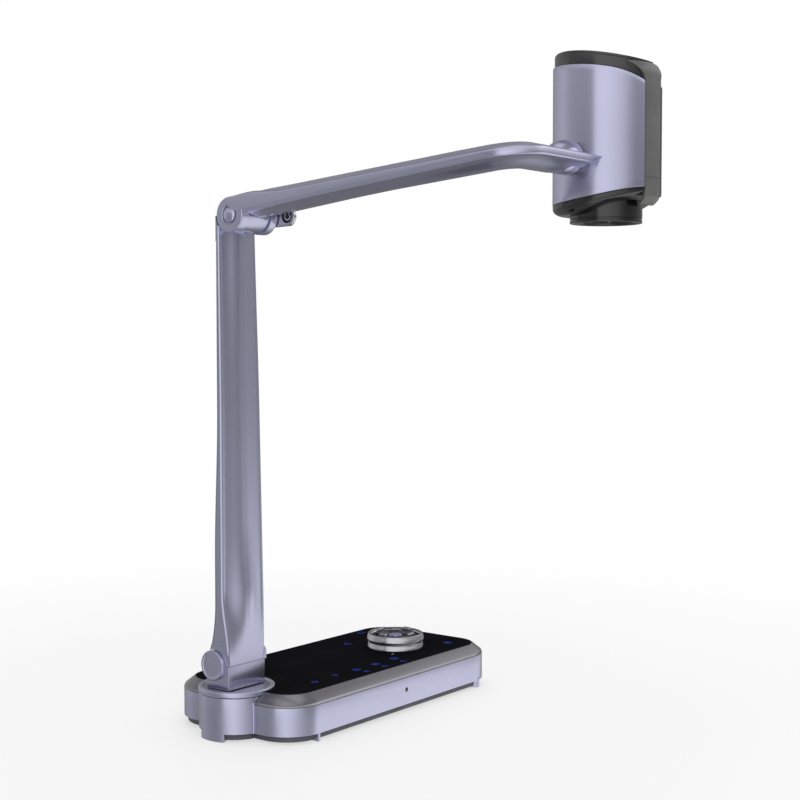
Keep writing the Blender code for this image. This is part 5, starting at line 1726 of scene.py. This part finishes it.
    def build_wrist(self) -> None:
        """Builds the egg-shaped pod and the dark flange at the arm's end."""
        low, high = in_mm(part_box("wrist_flange"))
        body = self.pod(0, low.x - GAP)
        self.shop.piece("pod", body.moved(self.frame), SATIN, Body.ARM, Slot.METAL, ["wrist_pod"])
        radius = (high.z - low.z) / 2
        centre = (0, -self.wrist_s, self.pod_up)
        bore = self.flange_bore
        foot = offset(radius, low.x, ((-0.3, 0), (0, 0.3), (0, 0.7), (-0.5, 0.9), (-0.5, 1.2), (0, 1.4)))
        rim = offset(radius, high.x, ((0, -0.6), (-0.2, -0.2), (-0.6, 0)))
        profile = [(bore, low.x), *foot, *rim, (bore, high.x)]
        flange = Solid.turned(profile, centre, Axis.X, 96, ring=True)
        flange.moved(self.frame)
        self.shop.piece("flange", flange, SMOKE_AND_PAINTED_SHADE, Body.ARM, Slot.DARK_METAL, ["wrist_flange"])


# ---------------------------------------------------------------- head


@dataclass
class HeadAssembly:
    """The camera head: sleeve with its side pad, cap, front strip, bezel, lens, wing and hub."""

    shop: Workshop
    radius: float = 38.5
    wall: float = 2.5
    top_drop: float = 7.8
    top_hook: float = 7.7
    low_rise: float = 11.5
    rim_drop: float = 10.0
    rim_in: float = 1.2
    bezel_high: float = 5.5
    strip_half: float = 16.0
    strip_flare: float = 40.0
    flare_high: float = 18.0
    lens_r: float = 26.0
    glass_r: float = 14.0
    lens_inner: float = 22.6
    lens_deep: float = 7.0
    lamp_circle: float = 18.6
    bezel_inner: float = 31.0
    cap_up: float = 10.5
    cap_round: float = 3.0
    pad_angles: Point2 = (-72.0, -22.0)
    pad_heights: Point2 = (6.0, 83.0)
    seam_up: float = 17.9
    hub_r: float = 11.2
    hub_long: float = 13.0
    steps: int = 180

    def __post_init__(self) -> None:
        """Reads the head's places from the CAD nodes' boxes."""
        self.arm = ArmAssembly(self.shop)
        low, high = in_mm(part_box("head_sleeve"))
        lens = middle_of("lens_barrel")
        self.x, self.y = lens.x, lens.y
        self.sleeve_low, self.sleeve_top = low.z, high.z
        self.rim_top = self.sleeve_top + self.cap_up
        self.bezel_low = foot_of("head_bezel")
        self.strip_low = foot_of("head_front_panel")
        wrist = middle_of("wrist_flange")
        self.wrist_y, self.wrist_z = wrist.y, wrist.z

    def build(self) -> None:
        """Builds the head's pieces."""
        self.build_sleeve()
        self.build_cap()
        self.build_pad()
        self.build_strip()
        self.build_bezel()
        self.build_lens()
        self.build_wing()

    def share(self, back: float) -> float:
        """Gives 0 at the head's back and 1 at its front."""
        return (self.radius - back) / (2 * self.radius)

    def top(self, back: float) -> float:
        """Gives the sleeve's top edge."""
        share = self.share(back)
        return self.sleeve_top - self.top_drop * share**2 - self.top_hook * share**12

    def low(self, back: float) -> float:
        """Gives the sleeve's low edge."""
        return self.sleeve_low + self.low_rise * self.share(back) ** 2

    def rim(self, back: float) -> float:
        """Gives the cap's rim."""
        return self.rim_top - self.rim_drop * self.share(back) ** 2

    def under(self, back: float) -> float:
        """Gives the bezel's underside."""
        share = smooth(0.3, 0.75, self.share(back))
        return mix(self.bezel_low + 0.5, self.low(back) - self.bezel_high, share)

    def round(self, radius: float, height: Height) -> list[Point3]:
        """Gives a ring about the head's axis at a height that depends on the distance to the back."""
        ring = []
        for i in range(self.steps):
            angle = math.tau * i / self.steps
            back = radius * math.sin(angle)
            ring.append((self.x + radius * math.cos(angle), self.y + back, height(back)))
        return ring

    def strip(self, grow: float) -> Solid:
        """Makes the front strip, wrapped on the sleeve and flaring at its top, or grown its own cutter."""
        outer = self.radius + 0.5 + grow + (3 if grow else 0)
        inner = self.radius - self.wall - grow
        start, top = self.sleeve_top - self.flare_high, self.sleeve_top
        chamfer = 7.0
        base = self.strip_low
        heights = [base - grow, *(base + chamfer * k / 8 for k in range(1, 9)), base + chamfer + 2]
        heights += [mix(base + chamfer + 2, start, i / 6) for i in range(1, 6)]
        heights += [mix(start, top, i / 20) for i in range(21)]
        if grow:
            heights.append(self.rim_top + 10)
        rings = []
        for z in heights:
            t = min(1.0, max(0.0, (z - start) / (top - start)))
            wide = math.radians(mix(self.strip_half, self.strip_flare, t**2.8)) + grow / self.radius
            draw = 14.0 * max(0.0, t - 0.55) ** 2
            low = max(0.0, base + chamfer - z) ** 2 / chamfer
            face = outer - (0 if grow else draw + low * 0.7)
            middle = -math.pi / 2
            ring = arc(self.x, self.y, face, middle - wide, middle + wide, 40)
            ring += arc(self.x, self.y, inner - draw - low * 0.55, middle + wide, middle - wide, 40)
            rings.append([(x, y, z) for x, y in ring])
        return Solid.loft(rings)

    def build_sleeve(self) -> None:
        """Builds the metal sleeve with the seam line round it."""
        radius = self.radius
        inner = radius - self.wall
        edge, count = 0.4, 24
        turn = rounding(edge)
        rings = [self.round(inner, self.low)]
        for inset, rise in reversed(turn):
            rings.append(self.round(radius - inset, lambda back, z=edge - rise: self.low(back) + z))
        for k in range(1, count):
            share = k / count
            rings.append(
                self.round(radius, lambda back, t=share: mix(self.low(back) + edge, self.top(back) - edge, t))
            )
        for inset, rise in turn:
            rings.append(self.round(radius - inset, lambda back, z=rise: self.top(back) - edge + z))
        rings.append(self.round(inner, self.top))
        sleeve = Solid.loft(rings, loop=True)
        sleeve.cut(self.strip(GAP))
        self.shop.piece("sleeve", sleeve, SHELL, Body.HEAD, Slot.SHELL, ["head_sleeve"])

    def build_cap(self) -> None:
        """Builds the polished cap with its rounded rim and shallow dome."""
        radius = self.radius - self.rim_in
        rings = [
            self.round(radius - self.wall, lambda back: self.top(back) + 2),
            self.round(radius - 0.3, lambda back: self.top(back) + 0.2),
            self.round(radius, lambda back: self.top(back) + 0.5),
        ]
        edge = self.cap_round
        for inset, rise in rounding(edge, 10):
            rings.append(self.round(radius - inset, lambda back, z=rise: self.rim(back) - edge + z))
        for part, rise in ((0.85, 0.3), (0.72, 0.75), (0.55, 1.4), (0.4, 1.66), (0.2, 1.88), (0.08, 1.9)):
            rings.append(self.round(self.radius * part, lambda back, rise=rise: self.rim(back) + rise))
        cap = Solid.loft(rings)
        cap.cut(self.strip(GAP))
        self.shop.piece("cap", cap, GLOSS_BLACK, Body.HEAD, Slot.GLOSS, ["head_cap"])

    def build_pad(self) -> None:
        """Builds the raised pad on the sleeve's right front, beside the front strip, dressed darker than the
        sleeve as painted shade.
        """
        start, end = (math.radians(angle) for angle in self.pad_angles)
        low, high = (self.sleeve_low + up for up in self.pad_heights)
        levels = edged(low, high, 0.9, 5)
        rings = []
        for inset, z in levels:
            a, b = start + inset / self.radius * 2, end - inset / self.radius * 2
            points = arc(self.x, self.y, self.radius + 0.85 - inset * 0.6, a, b, 40)
            points += arc(self.x, self.y, self.radius - 0.6, b, a, 40)
            rings.append([(x, y, z) for x, y in points])
        pad = Solid.loft(rings)
        # The pad wears the dark finish on the lavender shell slot: painted shade.
        self.shop.piece("side_pad", pad, SMOKE_AND_PAINTED_SHADE, Body.HEAD, Slot.SHELL)

    def build_strip(self) -> None:
        """Builds the grey strip down the head's front."""
        strip = self.strip(0.0).bevelled(0.3, 40, 2)
        seam = self.sleeve_low + self.seam_up
        walls = (self.radius + 0.15, self.radius + 3)
        strip.cut(Solid.tube(*walls, seam - 0.15, seam + 0.15, (self.x, self.y, 0), steps=120, edge=0.02))
        self.shop.piece("front_strip", strip, STRIP_GREY, Body.HEAD, Slot.GREY, ["head_front_panel"])

    def build_bezel(self) -> None:
        """Builds the black foot of the head round the lens."""
        bore = self.lens_r + GAP

        def side(back: float) -> float:
            return self.low(back) - GAP - 3.0

        rings = [
            self.round(self.radius - 0.4, lambda back: self.low(back) - GAP),
            self.round(self.radius - 0.15, lambda back: self.low(back) - GAP - 0.3),
            self.round(self.radius - 0.2, lambda back: side(back) + 0.8),
        ]
        for k in range(1, 10):
            turn = k / 10 * math.pi / 2
            radius = mix(self.radius - 0.2, self.bezel_inner, 1 - math.cos(turn))
            rings.append(
                self.round(radius, lambda back, s=math.sin(turn): mix(side(back) + 0.8, self.under(back), s))
            )
        rings += [
            self.round(self.bezel_inner, self.under),
            self.round(bore + 0.4, self.under),
            self.round(bore, lambda back: self.under(back) + 0.4),
            self.round(bore, lambda back: self.low(back) - GAP),
        ]
        bezel = Solid.loft(rings, loop=True)
        bezel.cut(self.strip(GAP))
        self.shop.piece("lens_bezel", bezel, BARREL_BLACK, Body.HEAD, Slot.MATT, ["head_bezel"])

    def build_lens(self) -> None:
        """Builds the barrel, the stepped ring, the glass and the lamps round it."""
        place = (self.x, self.y, 0)
        low, top = foot_of("lens_barrel"), top_of("lens_barrel")
        roof = low + self.lens_deep
        inner = self.lens_inner
        outer = self.lens_r
        steps = ((-0.5, 0), (-0.1, 0.15), (0, 0.5), (0, 2.0), (-0.5, 2.3), (-0.5, 3.0), (0, 3.3))
        mouth = offset(inner, low, ((0, 1.0), (0.3, 0.3), (0.9, 0)))
        profile = [*offset(outer, low, steps), (outer, top), (0, top), (0, roof), (inner, roof), *mouth]
        barrel = Solid.turned(profile, place, steps=150, ring=True)
        self.shop.piece("barrel", barrel, BARREL_BLACK, Body.HEAD, Slot.MATT, ["lens_barrel"])
        under = roof - GAP
        profile = [(14.3, under), (22.3, under), (22.3, low + 2), (21.9, low + 1.8)]
        for k in range(1, 6):
            profile += [(21.9 - k * 1.1, low + 1.8 + k * 0.42), (21.9 - k * 1.1, low + 2.1 + k * 0.42)]
        profile += [(15.2, low + 4.2), (14.5, low + 4.4), (14.3, low + 4.8)]
        ring = Solid.turned(profile, place, steps=120, ring=True)
        self.shop.piece("lens_baffle", ring, MATT_BLACK, Body.HEAD, Slot.MATT, ["lens_ring"])
        dome = domed(self.glass_r, under - 1.6, -2.8, 32, 16)
        glass = Solid.turned([(0, under), (self.glass_r, under), *dome, (0, under - 4.4)], place, steps=110)
        self.shop.piece("front_glass", glass, CoatedLens(), Body.HEAD, Slot.LENS, ["lens_glass"])
        beads = []
        for k in range(8):
            angle = k * math.pi / 4 + math.pi / 8
            reach = self.lamp_circle
            spot = (self.x + reach * math.cos(angle), self.y + reach * math.sin(angle), 0)
            beads.append(Solid.rod(1.1, low + 2.2, low + 4.5, spot, Axis.Z, 24, 0.5))
        self.shop.piece("lamp_beads", beads[0].with_shells(*beads[1:]), LAMP, Body.HEAD, Slot.GREY)

    def build_wing(self) -> None:
        """Builds the wing that carries the arm's section on to the sleeve, and the round hub through it."""
        seat = self.radius - 0.5
        arm = self.arm
        count = 16
        top = Fluting.row(*arm.upper(arm.length))
        bottom = Fluting.row(*arm.lower(arm.length))
        top_end = Fluting.row(3.9, 7.6)
        bottom_end = Fluting.row(2.1, -1.8)
        near = [*top, *reversed(bottom)]
        far = [*top_end, *reversed(bottom_end)]
        start = arm.end_x + 0.15
        rings = []
        for k in range(count + 1):
            share = k / count
            ring = []
            for (t, up), (_, up_end) in zip(near, far):
                level = mix(up, up_end, share)
                s = arm.length - arm.end_wide * (t + 1) / 2
                place = arm.frame @ Vector((0, -s, level))
                reach = self.x - math.sqrt(seat**2 - (place.y - self.y) ** 2)
                ring.append((mix(start, reach, share), place.y, place.z))
            rings.append(ring)
        wing = Solid.loft(rings)
        self.shop.piece("wing", wing, SATIN, Body.HEAD, Slot.METAL, ["head_cradle"], crease=28)
        self.build_hub(start)

    def build_hub(self, start: float) -> None:
        """Builds the round hub between the arm's flange and the sleeve, dressed darker than the arm as
        painted shade, with flush black blocks on its top as painted shade in place of slots.
        """
        centre = (0, self.wrist_y, self.wrist_z)
        radius = self.hub_r
        profile = [(0, start), *offset(radius, start, ((-0.7, 0), (-0.2, 0.2), (0, 0.7)))]
        profile += [(radius - 1.6 * (k / 8) ** 2, start + 0.7 + self.hub_long * k / 8) for k in range(1, 9)]
        profile.append((0, start + 13.7))
        hub = Solid.turned(profile, centre, Axis.X, 110)
        # The hub is the lavender metal in the dark finish: painted shade.
        self.shop.piece("hub", hub, SMOKE_AND_PAINTED_SHADE, Body.HEAD, Slot.METAL)
        # Flush black blocks, not cut slots: painted shade of slots.
        for number, (along, turn) in enumerate(((2.6, -20.0), (4.6, 0.0), (2.6, 20.0)), 1):
            low = (start + along, -1.0, radius - 0.9)
            slot = Solid.block(low, (start + along + 2.6, 1.0, radius + 0.12), 0.35)
            spin = Matrix.Translation(centre) @ Matrix.Rotation(math.radians(turn), 4, "X")
            self.shop.piece(f"hub_slot_shade_{number}", slot.moved(spin), MATT_BLACK, Body.HEAD, Slot.MATT)


@dataclass
class Studio:
    """A pale floor, a soft surrounding and soft lamps, with the camera."""

    camera_at: Point3 = (-810.5, -788.2, 315.3)
    camera_forward: Point3 = (0.78995, 0.61123, -0.04878)
    lens: float = 65.54
    ambient: float = 0.62
    floor_share: float = 0.4
    floor_reach: float = 0.95
    low: Ramp = (
        (-180, 0.16), (-155, 0.3), (-113, 0.46), (-90, 0.36), (-60, 0.3), (-42, 0.4), (-22, 0.92),
        (-5, 1.1), (10, 0.95), (35, 0.62), (60, 0.42), (75, 0.46), (90, 1.08), (122, 1.08), (155, 0.32),
        (180, 0.16),
    )
    middle: Ramp = (
        (-180, 0.2), (-155, 0.42), (-113, 0.7), (-90, 0.45), (-60, 0.32), (-38, 0.28), (-31, 1.2),
        (-10, 1.18), (10, 1.0), (29, 0.76), (46, 0.38), (58, 0.24), (76, 0.22), (90, 0.25), (106, 0.32),
        (145, 0.34), (180, 0.2),
    )
    high: Ramp = (
        (-180, 0.28), (-140, 0.45), (-90, 0.6), (-50, 0.8), (-20, 1.1), (20, 1.1), (60, 0.9),
        (92, 1.45), (112, 1.45), (126, 0.85), (140, 0.8), (155, 0.5), (180, 0.28),
    )
    zenith: Ramp = (
        (-180, 0.34), (-90, 0.22), (-30, 0.4), (30, 0.4), (90, 0.3), (130, 0.38), (180, 0.34),
    )
    glints: Ramp = ((-1, 0), (0.87, 0), (0.94, 0.5), (1, 0.5))
    belts: Ramp = ((-0.18, -0.06), (0.18, 0.27), (0.6, 0.68))

    def build(self) -> None:
        """Builds the stage, the light and the camera."""
        self.build_floor()
        self.build_world()
        self.build_lamps()
        self.build_camera()
        bpy.context.scene.view_settings.view_transform = "Standard"

    def build_floor(self) -> None:
        """Builds the floor, white to the camera at its rim and shaded by the object near its middle."""
        bm = bmesh.new()
        bmesh.ops.create_circle(bm, cap_ends=True, radius=self.floor_reach, segments=96)
        mesh = bpy.data.meshes.new("floor")
        bm.to_mesh(mesh)
        bm.free()
        floor = bpy.data.objects.new("floor", mesh)
        floor.location = (0.1, 0, 0)
        floor.visible_glossy = False
        bpy.context.scene.collection.objects.link(floor)
        tree = Tree(bpy.data.materials.new("floor"))
        shader = tree.nodes["Principled BSDF"]
        shader.inputs["Roughness"].default_value = 0.9
        shader.inputs["Specular IOR Level"].default_value = 0.0
        coords = tree.add("ShaderNodeTexCoord").outputs["Object"]
        speckle = tree.add("ShaderNodeTexNoise", Scale=3.0)
        tree.join(coords, speckle.inputs["Vector"])
        tone = tree.ramp(speckle.outputs["Fac"], ((0, 0.84), (1, 0.88)))
        tree.join(tone, shader.inputs["Base Color"])
        far = tree.math("DIVIDE", tree.length(coords), self.floor_reach)
        share = tree.ramp(far, ((0, 1 - self.floor_share), (0.3, 1 - self.floor_share), (0.85, 1), (1, 1)))
        ray = tree.add("ShaderNodeLightPath").outputs["Is Camera Ray"]
        glow = tree.add("ShaderNodeEmission").outputs["Emission"]
        blend = tree.mixed(tree.math("MULTIPLY", ray, share), shader.outputs["BSDF"], glow)
        tree.join(blend, tree.nodes["Material Output"].inputs["Surface"])
        mesh.materials.append(tree.owner)

    def build_world(self) -> None:
        """Builds the surrounding: white to the camera, soft walls to reflections, an even level otherwise."""
        world = bpy.data.worlds.new("studio")
        bpy.context.scene.world = world
        tree = Tree(world)
        coords = tree.add("ShaderNodeTexCoord").outputs["Generated"]
        ahead = -Vector((self.camera_forward[0], self.camera_forward[1], 0)).normalized()
        right = Vector((-ahead.y, ahead.x, 0))
        turn = tree.math("ARCTAN2", tree.dot(coords, right), tree.dot(coords, ahead))
        place = tree.math("MULTIPLY_ADD", turn, 1 / math.tau, 0.5)
        rise = tree.math("MULTIPLY_ADD", tree.dot(coords, Vector((0, 0, 1))), 0.5, 0.5)
        bands = (self.low, self.middle, self.high, self.zenith)
        level, *rows = (tree.ramp(place, self.placed(row)) for row in bands)
        for (start, end), row in zip(self.belts, rows):
            share = tree.ramp(rise, (((start + 1) / 2, 0), ((end + 1) / 2, 1)))
            level = tree.between(share, level, row)
        glints = tree.ramp(rise, [((z + 1) / 2, value) for z, value in self.glints])
        walls = tree.background(tree.math("ADD", level, glints))
        even = tree.background(self.ambient)
        white = tree.background(1.0)
        path = tree.add("ShaderNodeLightPath").outputs
        first = tree.mixed(path["Is Glossy Ray"], even, walls)
        seen = tree.math("MAXIMUM", path["Is Camera Ray"], path["Is Transmission Ray"])
        tree.join(tree.mixed(seen, first, white), tree.nodes["World Output"].inputs["Surface"])
        world.cycles.sampling_method = "NONE"

    @staticmethod
    def placed(row: Sequence[Point2]) -> list[Point2]:
        """Turns (degrees, level) pairs into a ramp's (position, level) pairs."""
        return [((angle + 180) / 360, level) for angle, level in row]

    def build_lamps(self) -> None:
        """Builds the soft lamps: a large one by the camera, one overhead and one behind."""
        target = Vector((60, 0, 200)) * MM
        rows = (
            ("key", (-1.1, -1.5, 1.5), 1.2, 11.0),
            ("top", (0.2, -0.1, 1.9), 1.6, 9.0),
            ("rear", (1.3, 1.2, 1.2), 1.2, 5.0),
        )
        for name, place, size, power in rows:
            data = bpy.data.lights.new(name, "AREA")
            data.shape = "SQUARE"
            data.size = size
            data.energy = power
            lamp = bpy.data.objects.new(name, data)
            lamp.location = place
            lamp.rotation_euler = (target - Vector(place)).to_track_quat("-Z", "Y").to_euler()
            lamp.visible_glossy = False
            bpy.context.scene.collection.objects.link(lamp)

    def build_camera(self) -> None:
        """Builds the camera and makes it the scene's own."""
        data = bpy.data.cameras.new("camera")
        data.lens = self.lens
        data.sensor_width = 36.0
        data.clip_start = 0.05
        camera = bpy.data.objects.new("camera", data)
        camera.location = Vector(self.camera_at) * MM
        camera.rotation_euler = Vector(self.camera_forward).to_track_quat("-Z", "Y").to_euler()
        bpy.context.scene.collection.objects.link(camera)
        bpy.context.scene.camera = camera


def main() -> None:
    """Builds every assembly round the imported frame."""
    logging.basicConfig(level=logging.INFO, format="%(name)s: %(message)s")
    for leftover in list(bpy.data.objects):
        bpy.data.objects.remove(leftover)
    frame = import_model()
    shop = Workshop(frame)
    lower = (BaseAssembly, DialAssembly, TurntableAssembly)
    upper = (ColumnAssembly, ArmAssembly, HeadAssembly)
    for assembly in (*lower, *upper):
        assembly(shop).build()
        LOG.info("%s done", assembly.__name__)
    shop.dress_shown_nodes()
    Studio().build()


if __name__ == "__main__":
    main()
